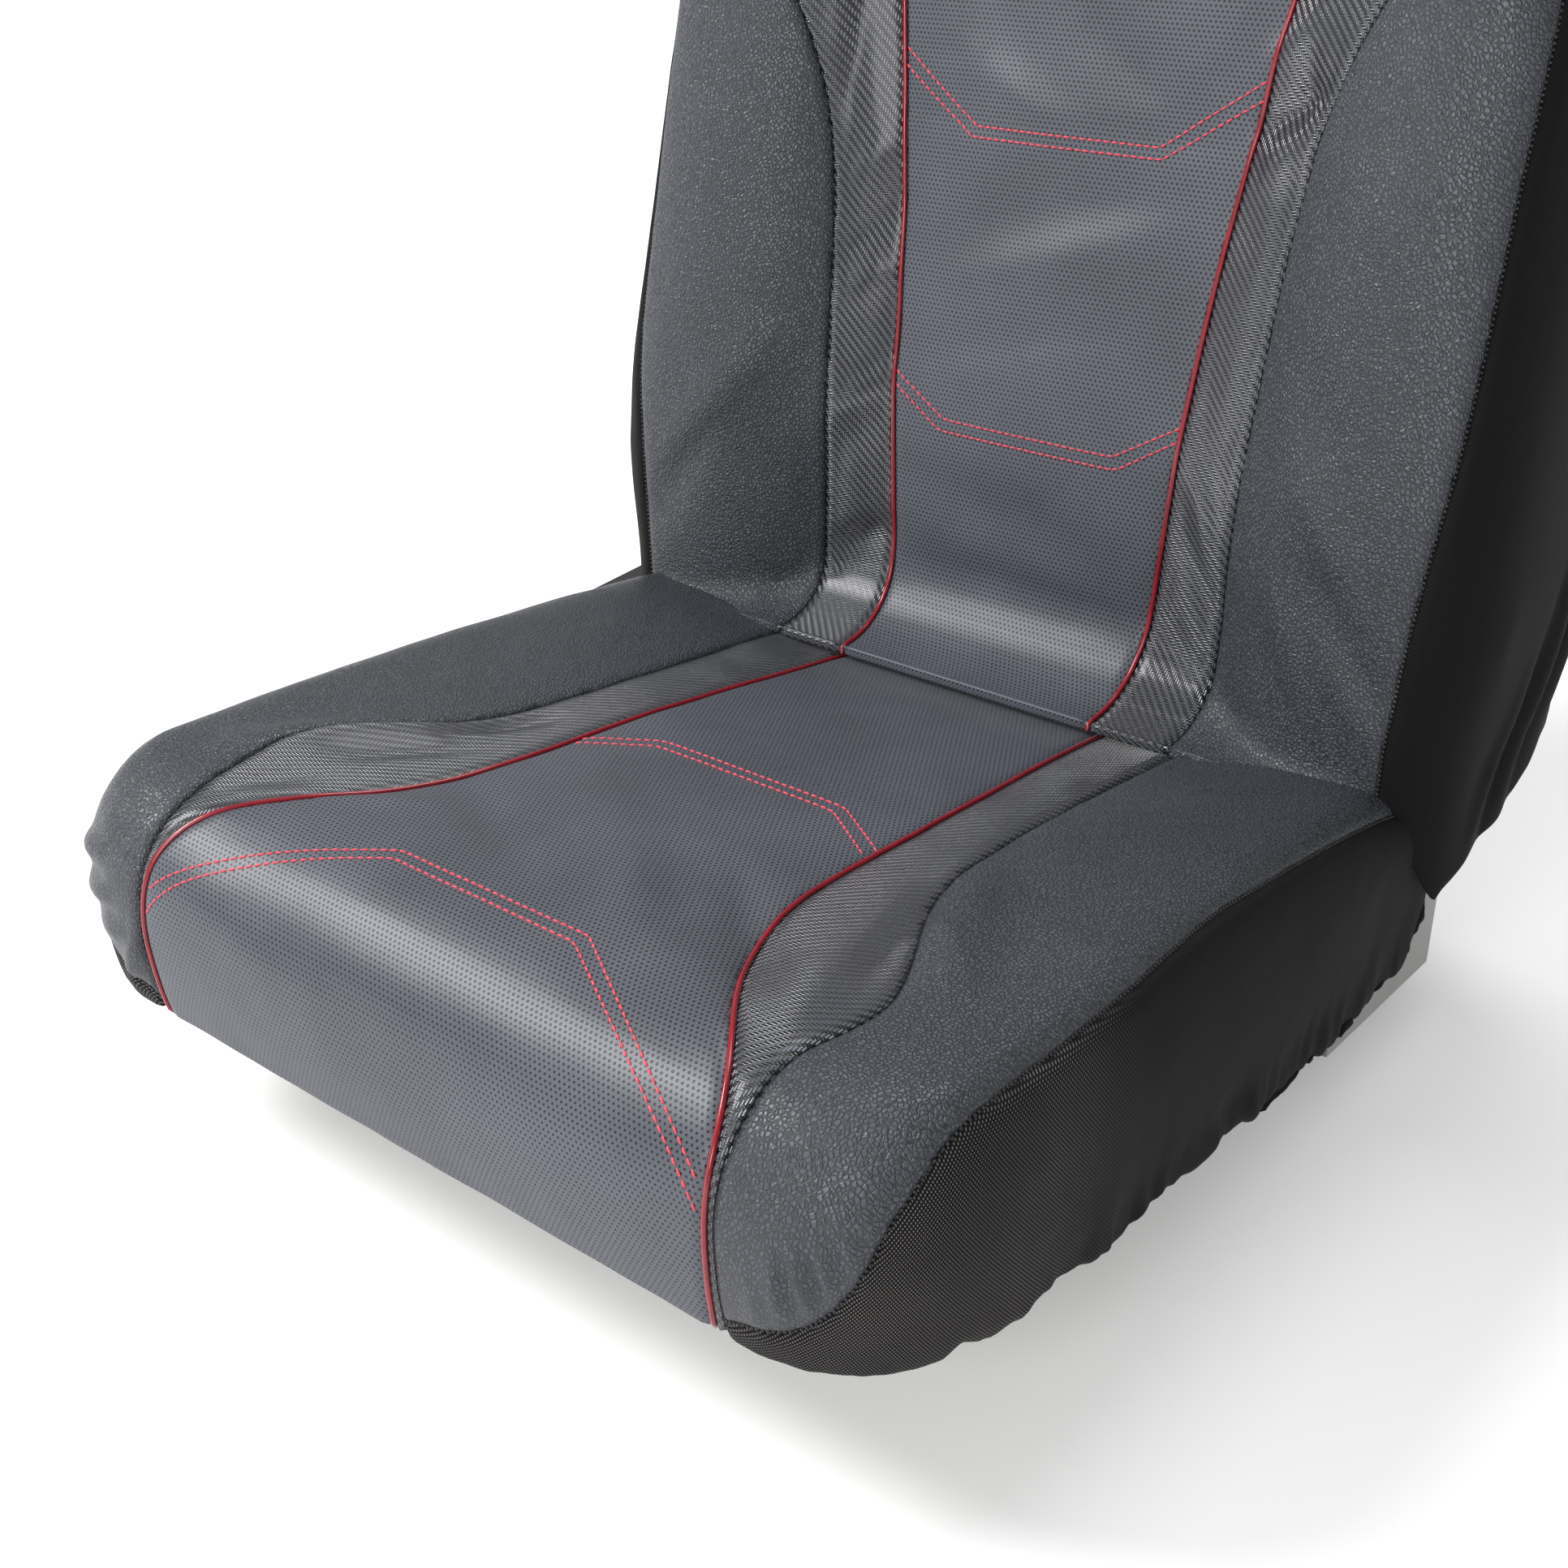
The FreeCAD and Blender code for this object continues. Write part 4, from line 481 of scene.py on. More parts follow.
class Skin:
    """A soft form's outer skin, which is cut along its seams and taken apart into covers."""

    def __init__(self, mesh: bpy.types.Mesh) -> None:
        """Starts from a finished form, all of it panel 0.

        Args:
            mesh: The finished form.
        """
        self.work = bmesh.new()
        self.work.from_mesh(mesh)
        self.panel = self.work.faces.layers.int.new("panel")

    def places(self, vertices: Sequence[bmesh.types.BMVert]) -> np.ndarray:
        """Places of vertices in millimetres from the bight."""
        return np.array([vertex.co for vertex in vertices], float).reshape(-1, 3) / MM - BIGHT

    def cut(self, measure: Measure, within: Panel, beyond: Panel) -> None:
        """Parts one panel along the zero line of a measure.

        Args:
            measure: Gives a signed distance for places; what lies above zero goes to the new panel.
            within: The panel that is cut.
            beyond: The new panel.
        """
        snap_share = 0.25
        faces = [face for face in self.work.faces if face[self.panel] == within]
        vertices = list(dict.fromkeys(vertex for face in faces for vertex in face.verts))
        values = dict(zip(vertices, measure(self.places(vertices))))
        edges = list(dict.fromkeys(edge for face in faces for edge in face.edges))
        snaps: dict[bmesh.types.BMVert, tuple[float, Vector]] = {}
        for edge in edges:
            low, high = edge.verts
            if values[low] * values[high] < 0:
                share = values[low] / (values[low] - values[high])
                spot = low.co.lerp(high.co, share)
                for vertex, part in ((low, share), (high, 1 - share)):
                    if part < snap_share and part < snaps.get(vertex, (1.0, spot))[0]:
                        snaps[vertex] = (part, spot)
        for vertex, (_, spot) in snaps.items():
            vertex.co = spot
            values[vertex] = 0.0
        on_line = list(snaps)
        for edge in edges:
            low, high = edge.verts
            if values[low] * values[high] < 0:
                _, vertex = bmesh.utils.edge_split(edge, low, values[low] / (values[low] - values[high]))
                values[vertex] = 0.0
                on_line.append(vertex)
        bmesh.ops.connect_verts(self.work, verts=on_line)
        for face in self.work.faces:
            if face[self.panel] == within:
                strongest = max((values.get(vertex, 0.0) for vertex in face.verts), key=abs)
                if strongest > 0:
                    face[self.panel] = beyond

    def drop(self, panel: Panel) -> None:
        """Takes a panel away."""
        gone = [face for face in self.work.faces if face[self.panel] == panel]
        bmesh.ops.delete(self.work, geom=gone, context="FACES")

    def seam_edges(self, panels: set[Panel] | None = None) -> list[bmesh.types.BMEdge]:
        """The edges between panels, or between the two sorts of panel that are named.

        Args:
            panels: The two panels, or none for every seam.

        Returns:
            The edges.
        """
        found = []
        for edge in self.work.edges:
            if len(edge.link_faces) == 2:
                sorts = {face[self.panel] for face in edge.link_faces}
                if len(sorts) == 2 and (panels is None or sorts == panels):
                    found.append(edge)
        return found

    def sew(self, depth: float, width: float) -> None:
        """Draws the skin in along its seams.

        Args:
            depth: How deep a seam lies, in millimetres.
            width: How far from a seam the skin still follows it, in millimetres.
        """
        self.work.normal_update()
        ends = list(dict.fromkeys(vertex for edge in self.seam_edges() for vertex in edge.verts))
        tree = KDTree(len(ends))
        for index, vertex in enumerate(ends):
            tree.insert(vertex.co, index)
        tree.balance()
        moves = []
        for vertex in self.work.verts:
            away = tree.find(vertex.co)[2]
            if away < width * MM:
                moves.append((vertex, vertex.normal * (-depth * MM * (1 - away / (width * MM)) ** 2)))
        for vertex, move in moves:
            vertex.co += move

    def path(self, panels: set[Panel], side: int) -> list[tuple[Vector, Vector]]:
        """The seam between two panels on one side, as places and normals from the rear or top on.

        Args:
            panels: The two panels.
            side: 1 on the right, -1 on the left.

        Returns:
            The longest run of that seam.
        """
        edges = [e for e in self.seam_edges(panels) if side * (e.verts[0].co.x + e.verts[1].co.x) > 0]
        links: dict[bmesh.types.BMVert, list[bmesh.types.BMVert]] = {}
        for edge in edges:
            low, high = edge.verts
            links.setdefault(low, []).append(high)
            links.setdefault(high, []).append(low)
        loose = dict.fromkeys(links)
        longest: list[bmesh.types.BMVert] = []
        while loose:
            tips = [vertex for vertex in loose if len(links[vertex]) == 1]
            here = tips[0] if tips else next(iter(loose))
            chain = [here]
            loose.pop(here)
            while True:
                after = [vertex for vertex in links[here] if vertex in loose]
                if not after:
                    break
                here = after[0]
                loose.pop(here)
                chain.append(here)
            if len(chain) > len(longest):
                longest = chain
        if longest and longest[0].co.y + longest[0].co.z < longest[-1].co.y + longest[-1].co.z:
            longest.reverse()
        return [(vertex.co.copy(), vertex.normal.copy()) for vertex in longest]

    def part(self, name: str, panel: Panel, side: int = 0) -> bpy.types.Object:
        """Takes a copy of one panel out as an object.

        Args:
            name: The piece's name.
            panel: The panel.
            side: 1 or -1 for one of two twins, 0 for all of the panel.

        Returns:
            The piece.
        """
        copy = self.work.copy()
        layer = copy.faces.layers.int["panel"]
        gone = [
            face for face in copy.faces
            if face[layer] != panel or (side and side * face.calc_center_median().x < 0)
        ]
        bmesh.ops.delete(copy, geom=gone, context="FACES")
        copy.faces.layers.int.remove(layer)
        return finished(name, copy)


def thickened(item: bpy.types.Object) -> None:
    """Gives a cover its thickness, inwards.

    Args:
        item: The cover.
    """
    wall = item.modifiers.new("wall", "SOLIDIFY")
    wall.thickness = COVER_WALL * MM
    wall.offset = -1.0
    wall.use_even_offset = False


def laid_out(item: bpy.types.Object, profile: np.ndarray) -> bpy.types.Object:
    """Gives a cover a UV map in metres: across is its X, along is the run over a side profile.

    Args:
        item: The cover.
        profile: The side profile's (y, z) points in millimetres from the bight.

    Returns:
        The cover.
    """
    mesh = item.data
    places = places_of(mesh)
    run = from_line(places[:, [1, 2]], profile)[1]
    spots = np.column_stack([places[:, 0], run]) * MM
    layer = mesh.uv_layers.new(name="cloth")
    index = np.empty(len(mesh.loops), np.int32)
    mesh.loops.foreach_get("vertex_index", index)
    layer.data.foreach_set("uv", spots[index].astype(np.float32).ravel())
    return item


def evened(path: Sequence[tuple[Vector, Vector]], spacing: float, rounds: int) -> list[tuple[Vector, Vector]]:
    """Smooths a path and sets its points a spacing apart.

    Args:
        path: Places and normals in order.
        spacing: The spacing in millimetres.
        rounds: How often the path is smoothed.

    Returns:
        The new places and normals.
    """
    places = np.array([place for place, _ in path], float)
    normals = np.array([normal for _, normal in path], float)
    for _ in range(rounds):
        places[1:-1] = 0.25 * places[:-2] + 0.5 * places[1:-1] + 0.25 * places[2:]
        normals[1:-1] = 0.25 * normals[:-2] + 0.5 * normals[1:-1] + 0.25 * normals[2:]
    run = np.concatenate([[0.0], np.cumsum(np.linalg.norm(np.diff(places, axis=0), axis=1))])
    count = max(2, int(round(run[-1] / (spacing * MM))))
    where = np.linspace(0, run[-1], count + 1)
    even = [
        np.column_stack([np.interp(where, run, column) for column in table.T]) for table in (places, normals)
    ]
    return [(Vector(place), Vector(normal).normalized()) for place, normal in zip(*even)]


def tube(name: str, path: Sequence[Vector], radius: float) -> bpy.types.Object:
    """A round cord along a path.

    Args:
        name: The piece's name.
        path: Its places in order.
        radius: The radius in millimetres.

    Returns:
        The piece.
    """
    line = bpy.data.curves.new(name, "CURVE")
    line.dimensions = "3D"
    line.bevel_depth = radius * MM
    line.bevel_resolution = 3
    line.use_fill_caps = True
    spline = line.splines.new("POLY")
    spline.points.add(len(path) - 1)
    for point, place in zip(spline.points, path):
        point.co = (*place, 1.0)
    holder = bpy.data.objects.new(name + "_line", line)
    bpy.context.scene.collection.objects.link(holder)
    mesh = applied(holder)
    bpy.data.curves.remove(line)
    mesh.shade_smooth()
    return new_object(name, mesh)


def stitches(
    name: str, rows: Sequence[Sequence[tuple[Vector, Vector]]], length: float, width: float, gap: float
) -> bpy.types.Object:
    """Rows of sewn stitches as one piece.

    Args:
        name: The piece's name.
        rows: Paths of places and normals along the skin.
        length: A stitch's length in millimetres.
        width: The thread's width in millimetres.
        gap: The bare length between two stitches in millimetres.

    Returns:
        The piece.
    """
    work = bmesh.new()
    for row in rows:
        spots = evened(row, length + gap, 0)
        for (start, normal), (end, _) in zip(spots[:-1], spots[1:]):
            along = (end - start).normalized()
            across = normal.cross(along).normalized()
            up = along.cross(across)
            made = bmesh.ops.create_uvsphere(work, u_segments=8, v_segments=5, radius=1.0)["verts"]
            middle = start.lerp(end, 0.5) + up * (0.12 * width * MM)
            for vertex in made:
                local = vertex.co.copy()
                bow = 1 - 0.6 * local.z * local.z
                vertex.co = (
                    middle
                    + along * (local.z * 0.5 * length * MM)
                    + across * (local.x * 0.5 * width * MM)
                    + up * ((local.y * 0.5 + 0.25 * bow - 0.25) * width * MM)
                )
    bmesh.ops.recalc_face_normals(work, faces=work.faces)
    return finished(name, work)


def overlocked(name: str, skin: Skin, panels: set[Panel]) -> bpy.types.Object:
    """The overlocked edge between two panels, on both sides of the seat, as one piece."""
    rows = [evened(skin.path(panels, side), PATH_STEP, 4) for side, _ in SIDES]
    return stitches(name, [row for row in rows if len(row) > 2], length=2.3, width=2.2, gap=0.5)


class Ground:
    """Finds where a place falls on a set of covers."""

    def __init__(self, skin: Skin) -> None:
        """Keeps a tree of the skin's faces."""
        self.tree = BVHTree.FromBMesh(skin.work)

    def row(self, corners: Sequence[Place], towards: Sequence[float]) -> list[tuple[Vector, Vector]]:
        """Lays a broken line on the skin.

        Args:
            corners: Its corners in millimetres from the bight.
            towards: The direction in which it is laid down.

        Returns:
            Places and normals along the skin.
        """
        spacing = 2.0
        start_back, reach = 0.08, 0.2
        found = []
        push = Vector(towards).normalized()
        points = [Vector((np.array(corner) + BIGHT) * MM) for corner in corners]
        for start, end in zip(points[:-1], points[1:]):
            steps = max(1, int((end - start).length / (spacing * MM)))
            for step in range(steps + 1):
                if step == 0 and found:
                    continue
                spot = start.lerp(end, step / steps)
                place, normal, _, _ = self.tree.ray_cast(spot - push * start_back, push, reach)
                if place is None:
                    place, normal, _, _ = self.tree.find_nearest(spot)
                found.append((place, normal if normal.dot(push) < 0 else -normal))
        return found


# ---------------------------------------------------------------- finishes


class Shading:
    """A small desk for building one material's nodes."""

    def __init__(self, name: str) -> None:
        """Starts a material with an empty principled shader and the piece's Object coordinates.

        Args:
            name: The material's name.
        """
        self.material = bpy.data.materials.new(name)
        self.material.use_nodes = True
        self.nodes = self.material.node_tree.nodes
        self.links = self.material.node_tree.links
        self.shader = self.nodes["Principled BSDF"]
        self.solid = self.add("ShaderNodeTexCoord").outputs["Object"]

    def add(self, kind: str, **settings: object) -> bpy.types.Node:
        """Adds a node and sets its properties.

        Args:
            kind: The node's type.
            settings: Its properties.

        Returns:
            The node.
        """
        node = self.nodes.new(kind)
        for key, value in settings.items():
            setattr(node, key, value)
        return node

    def join(self, source: object, target: bpy.types.NodeSocket) -> None:
        """Links a socket, or sets a plain number, on a socket.

        Args:
            source: A socket, a number or a vector.
            target: The socket that takes it.
        """
        if isinstance(source, bpy.types.NodeSocket):
            self.links.new(source, target)
        else:
            target.default_value = source

    def math(self, operation: str, *values: object, clamp: bool = False) -> bpy.types.NodeSocket:
        """A math node on numbers or sockets.

        Args:
            operation: The node's operation.
            values: Its inputs in order.
            clamp: Whether the result stays within 0 and 1.

        Returns:
            The output socket.
        """
        node = self.add("ShaderNodeMath", operation=operation, use_clamp=clamp)
        for slot, value in enumerate(values):
            self.join(value, node.inputs[slot])
        return node.outputs[0]

    def scaled(self, source: bpy.types.NodeSocket, gain: float, base: object = 0.0) -> bpy.types.NodeSocket:
        """A value times a gain, plus a base."""
        return self.math("ADD", self.math("MULTIPLY", source, gain), base)

    def square(self, source: bpy.types.NodeSocket) -> bpy.types.NodeSocket:
        """A value times itself."""
        return self.math("MULTIPLY", source, source)

    def stepped(self, source: bpy.types.NodeSocket, start: float, end: float) -> bpy.types.NodeSocket:
        """A smooth step that is 0 at one value and 1 at another.

        Args:
            source: The value.
            start: Where the step is 0.
            end: Where it is 1.

        Returns:
            The output socket.
        """
        node = self.add("ShaderNodeMapRange", interpolation_type="SMOOTHSTEP")
        self.join(source, node.inputs["Value"])
        node.inputs["From Min"].default_value = start
        node.inputs["From Max"].default_value = end
        return node.outputs[0]

    def flat(self) -> list[bpy.types.NodeSocket]:
        """The cloth UV map's two numbers: across and along."""
        return self.split(self.add("ShaderNodeUVMap", uv_map="cloth").outputs[0])[:2]

    def mapped(self, source: bpy.types.NodeSocket, scale: Sequence[float]) -> bpy.types.NodeSocket:
        """Coordinates through a Mapping node.

        Args:
            source: The coordinates.
            scale: Their scale on each axis.

        Returns:
            The output socket.
        """
        node = self.add("ShaderNodeMapping")
        self.join(source, node.inputs["Vector"])
        node.inputs["Scale"].default_value = scale
        return node.outputs[0]

    def split(self, source: bpy.types.NodeSocket) -> list[bpy.types.NodeSocket]:
        """The three parts of a vector.

        Args:
            source: The vector.

        Returns:
            The three output sockets.
        """
        node = self.add("ShaderNodeSeparateXYZ")
        self.join(source, node.inputs[0])
        return list(node.outputs)

    def texture(self, kind: str, scale: float, source: object = None, **settings: object) -> bpy.types.Node:
        """A texture node on the Object coordinates, or on others that are given.

        Args:
            kind: The end of the node's type.
            scale: Its scale.
            source: Other coordinates, or none.
            settings: The node's properties.

        Returns:
            The node.
        """
        node = self.add("ShaderNodeTex" + kind, **settings)
        self.join(self.solid if source is None else source, node.inputs["Vector"])
        node.inputs["Scale"].default_value = scale
        return node

    def noise(self, scale: float, detail: float = 3.0, source: object = None) -> bpy.types.NodeSocket:
        """A noise texture's value.

        Args:
            scale: Its scale.
            detail: Its detail.
            source: Other coordinates, or none.

        Returns:
            The output socket.
        """
        node = self.texture("Noise", scale, source)
        node.inputs["Detail"].default_value = detail
        return node.outputs[0]

    def ramp(self, source: bpy.types.NodeSocket, *stops: tuple[float, Color]) -> bpy.types.NodeSocket:
        """A colour ramp between two stops.

        Args:
            source: The value.
            stops: Two stops, each a value and a colour.

        Returns:
            The output socket.
        """
        node = self.add("ShaderNodeValToRGB")
        self.join(source, node.inputs[0])
        for element, (where, color) in zip(node.color_ramp.elements, stops):
            element.position = where
            element.color = (*color, 1.0)
        return node.outputs[0]

    def toned(
        self, source: bpy.types.NodeSocket, color: Color, low: tuple[float, float], high: tuple[float, float]
    ) -> bpy.types.NodeSocket:
        """A colour that a value makes darker or lighter; low and high are (value, factor) pairs."""
        return self.ramp(source, *((where, shade(color, factor)) for where, factor in (low, high)))

    def mixed(
        self, share: bpy.types.NodeSocket, first: Color, second: bpy.types.NodeSocket
    ) -> bpy.types.NodeSocket:
        """A mix from a plain colour at 0 to another colour at 1.

        Args:
            share: The share of the second colour.
            first: The plain colour.
            second: The other colour.

        Returns:
            The output socket.
        """
        node = self.add("ShaderNodeMix", data_type="RGBA")
        self.join(share, node.inputs["Factor"])
        node.inputs["A"].default_value = (*first, 1.0)
        self.join(second, node.inputs["B"])
        return node.outputs["Result"]

    def bump(
        self, height: bpy.types.NodeSocket, distance: float, strength: float, under: object = None
    ) -> bpy.types.NodeSocket:
        """A bump node over another one or none.

        Args:
            height: The height from 0 to 1.
            distance: What a height of 1 stands for, in millimetres.
            strength: The bump's strength.
            under: The bump that it lies over, or none.

        Returns:
            The output socket.
        """
        node = self.add("ShaderNodeBump")
        node.inputs["Strength"].default_value = strength
        node.inputs["Distance"].default_value = distance * MM
        self.join(height, node.inputs["Height"])
        if under is not None:
            self.join(under, node.inputs["Normal"])
        return node.outputs[0]

    def finish(self, **inputs: object) -> bpy.types.Material:
        """Sets or links the shader's inputs, an underscore for a space, and gives the material.

        Args:
            inputs: The inputs by name.

        Returns:
            The material.
        """
        for key, value in inputs.items():
            self.join(value, self.shader.inputs[key.replace("_", " ")])
        return self.material


def shade(color: Color, factor: float) -> Color:
    """A colour made lighter or darker."""
    return tuple(min(1.0, part * factor) for part in color)


@dataclass(frozen=True)
class PerforatedCover:
    """Smooth leathercloth with staggered needle holes."""

    color: Color = (0.076, 0.082, 0.102)
    hole_color: Color = (0.001, 0.001, 0.001)
    pitch: float = 2.95
    row_share: float = 0.866
    hole: float = 0.56

    def build(self) -> bpy.types.Material:
        """Makes the material.

        Returns:
            The material.
        """
        desk = Shading("perforated_cover")
        across, along = desk.flat()
        row_pitch = self.pitch * self.row_share
        row = desk.math("DIVIDE", along, row_pitch * MM)
        odd = desk.math("MODULO", desk.math("FLOOR", row), 2.0)
        column = desk.scaled(odd, 0.5, desk.math("DIVIDE", across, self.pitch * MM))
        sides = []
        for value, stretch in ((column, self.pitch), (row, row_pitch)):
            middle = desk.math("SUBTRACT", desk.math("FRACT", value), 0.5)
            sides.append(desk.math("MULTIPLY", desk.square(middle), stretch * stretch))
        away = desk.math("SQRT", desk.math("ADD", *sides))
        solid = desk.stepped(away, self.hole * 0.75, self.hole * 1.25)
        cloudy = desk.noise(14.0)
        tone = desk.toned(cloudy, self.color, (0.35, 0.9), (0.68, 1.12))
        return desk.finish(
            Base_Color=desk.mixed(solid, self.hole_color, tone),
            Roughness=desk.scaled(cloudy, 0.10, 0.40),
            Normal=desk.bump(solid, 0.5, 1.0, desk.bump(desk.noise(900.0, 2.0), 0.06, 0.5)),
            Specular_IOR_Level=0.5,
        )


@dataclass(frozen=True)
class TwillVinyl:
    """Glossy vinyl pressed with a two by two twill, its lighter floats partly a painted sheen."""

    color: Color = (0.006, 0.0065, 0.008)
    float_color: Color = (0.080, 0.086, 0.102)
    cell: float = 1.4

    def build(self) -> bpy.types.Material:
        """Makes the material.

        Returns:
            The material.
        """
        desk = Shading("insert_vinyl")
        column, row = (desk.math("DIVIDE", value, self.cell * MM) for value in desk.flat())
        stagger = desk.math("ADD", desk.math("FLOOR", column), desk.math("FLOOR", row))
        warp = desk.math("LESS_THAN", desk.math("FLOORED_MODULO", stagger, 4.0), 2.0)
        rounds = []
        for value in (column, row):
            middle = desk.math("SUBTRACT", desk.math("MULTIPLY", desk.math("FRACT", value), 2.0), 1.0)
            rounds.append(desk.math("SUBTRACT", 1.0, desk.square(middle)))
        height = desk.add("ShaderNodeMix", data_type="FLOAT")
        for source, name in ((warp, "Factor"), (rounds[1], "A"), (rounds[0], "B")):
            desk.join(source, height.inputs[name])
        return desk.finish(
            # Two-tone twill pattern; the floats' lighter colour also stands in for their sheen, a painted
            # highlight.
            Base_Color=desk.ramp(warp, (0.0, self.color), (1.0, self.float_color)),
            Roughness=desk.scaled(warp, -0.12, desk.scaled(desk.noise(22.0), 0.14, 0.21)),
            Normal=desk.bump(height.outputs["Result"], 0.42, 1.0),
            Specular_IOR_Level=0.8,
            Coat_Weight=0.2,
            Coat_Roughness=0.2,
        )


@dataclass(frozen=True)
class GrainedLeather:
    """Satin leathercloth with a fine pebble grain, its creases darkened with painted shade."""

    color: Color = (0.058, 0.063, 0.077)
    grain: float = 2.1
    crease: float = 0.26

    def build(self) -> bpy.types.Material:
        """Makes the material.

        Returns:
            The material.
        """
        desk = Shading("bolster_leather")
        warped = desk.add("ShaderNodeVectorMath", operation="MULTIPLY_ADD")
        desk.join(desk.texture("Noise", 420.0).outputs[1], warped.inputs[0])
        warped.inputs[1].default_value = (0.0009, 0.0009, 0.0009)
        desk.join(desk.solid, warped.inputs[2])
        spread = desk.mapped(warped.outputs[0], (1.0, 1.0, 0.8))
        cells = desk.texture("Voronoi", 1 / (self.grain * MM), spread, feature="DISTANCE_TO_EDGE")
        pebble = desk.stepped(cells.outputs[0], 0.0, self.crease)
        cloudy = desk.noise(12.0)
        tone = desk.toned(cloudy, self.color, (0.35, 0.92), (0.68, 1.10))
        return desk.finish(
            # Painted shade: the grain's creases are darkened to a quarter of the colour.
            Base_Color=desk.mixed(desk.scaled(pebble, 0.8, 0.2), shade(self.color, 0.25), tone),
            Roughness=desk.scaled(cloudy, 0.12, 0.36),
            Normal=desk.bump(pebble, 0.36, 1.0, desk.bump(desk.noise(1500.0, 2.0), 0.04, 0.4)),
            Specular_IOR_Level=0.5,
        )


@dataclass(frozen=True)
class RibKnit:
    """Black stretch mesh: fine slanting ribs, and pale knots towards the front that are a painted highlight."""

    color: Color = (0.0030, 0.0028, 0.0031)
    # The pale knot colour and the depths over which it fades in make a painted highlight towards the front.
    thread: Color = (0.30, 0.275, 0.26)
    pitch: float = 1.5
    glint_depths: tuple[float, float] = (-0.19, -0.30)

    def build(self) -> bpy.types.Material:
        """Makes the material.

        Returns:
            The material.
        """
        desk = Shading("stretch_fabric")
        across, depth, height = desk.split(desk.solid)
        along = desk.scaled(desk.math("ABSOLUTE", across), 0.8, depth)
        waves = []
        for first, second in ((0.75, 0.66), (-0.66, 0.75)):
            slant = desk.scaled(along, first, desk.math("MULTIPLY", height, second))
            waves.append(desk.math("COSINE", desk.math("MULTIPLY", slant, math.tau / (self.pitch * MM))))
        weave = desk.math("ADD", *waves)
        knots = desk.stepped(weave, 0.2, 1.7)
        # Painted highlight: the knots turn pale towards the front, where the mesh catches the light.
        front_glint = desk.scaled(desk.stepped(depth, *self.glint_depths), 1.1, 0.05)
        lit = desk.math("MULTIPLY", knots, desk.math("MULTIPLY", front_glint, desk.noise(11.0)), clamp=True)
        return desk.finish(
            Base_Color=desk.ramp(lit, (0.0, self.color), (1.0, self.thread)),
            Roughness=0.78,
            Normal=desk.bump(weave, 0.08, 0.5),
            Specular_IOR_Level=0.16,
            Sheen_Weight=0.02,
            Sheen_Roughness=0.5,
        )


@dataclass(frozen=True)
class GlossCord:
    """Smooth plastic-coated piping."""

    color: Color = (0.25, 0.003, 0.012)

    def build(self) -> bpy.types.Material:
        """Makes the material.

        Returns:
            The material.
        """
        desk = Shading("piping")
        cloudy = desk.noise(60.0)
        return desk.finish(
            Base_Color=desk.toned(cloudy, self.color, (0.35, 0.85), (0.65, 1.15)),
            Roughness=desk.scaled(cloudy, 0.12, 0.2),
            Specular_IOR_Level=0.5,
            Coat_Weight=0.3,
            Coat_Roughness=0.1,
        )


@dataclass(frozen=True)
class Thread:
    """Twisted sewing thread, with painted shade in the grooves of its twist."""

    name: str
    color: Color

    def build(self) -> bpy.types.Material:
        """Makes the material.

        Returns:
            The material.
        """
        desk = Shading(self.name)
        wave = desk.texture("Wave", 420.0, wave_type="BANDS", bands_direction="DIAGONAL").outputs[1]
        return desk.finish(
            # Painted shade: the colour darkens in the twist's grooves, where the bump dips.
            Base_Color=desk.toned(wave, self.color, (0.2, 0.62), (0.8, 1.1)),
            Roughness=0.42,
            Normal=desk.bump(wave, 0.08, 0.6),
        )


@dataclass(frozen=True)
class CutFoam:
    """Moulded polyurethane foam."""

    color: Color = (0.62, 0.55, 0.38)

    def build(self) -> bpy.types.Material:
        """Makes the material.

        Returns:
            The material.
        """
        desk = Shading("foam")
        return desk.finish(
            Base_Color=desk.toned(desk.noise(7.0), self.color, (0.3, 0.85), (0.7, 1.08)),
            Roughness=0.92,
            Normal=desk.bump(desk.texture("Voronoi", 650.0).outputs[0], 0.5, 0.7),
        )


@dataclass(frozen=True)
class Metal:
    """A steel part's finish: bare, plated, or under a black coat."""

    name: str
    color: Color
    metallic: float
    roughness: float
    grain: float
    depth: float

    def build(self) -> bpy.types.Material:
        """Makes the material.

        Returns:
            The material.
        """
        desk = Shading(self.name)
        grain = desk.noise(self.grain, 4.0, desk.mapped(desk.solid, (1.0, 0.12, 1.0)))
        cloudy = desk.noise(16.0)
        return desk.finish(
            Base_Color=desk.toned(cloudy, self.color, (0.3, 0.86), (0.72, 1.1)),
            Roughness=desk.scaled(cloudy, 0.14, self.roughness - 0.06),
            Normal=desk.bump(grain, self.depth, 0.5),
            Metallic=self.metallic,
        )


@dataclass(frozen=True)
class Moulding:
    """A moulded plastic with a spark-eroded surface."""

    name: str
    color: Color
    roughness: float = 0.5

    def build(self) -> bpy.types.Material:
        """Makes the material.

        Returns:
            The material.
        """
        desk = Shading(self.name)
        cloudy = desk.noise(20.0)
        return desk.finish(
            Base_Color=desk.toned(cloudy, self.color, (0.3, 0.92), (0.7, 1.08)),
            Roughness=desk.scaled(cloudy, 0.1, self.roughness),
            Normal=desk.bump(desk.noise(1100.0, 2.0), 0.06, 0.5),
        )


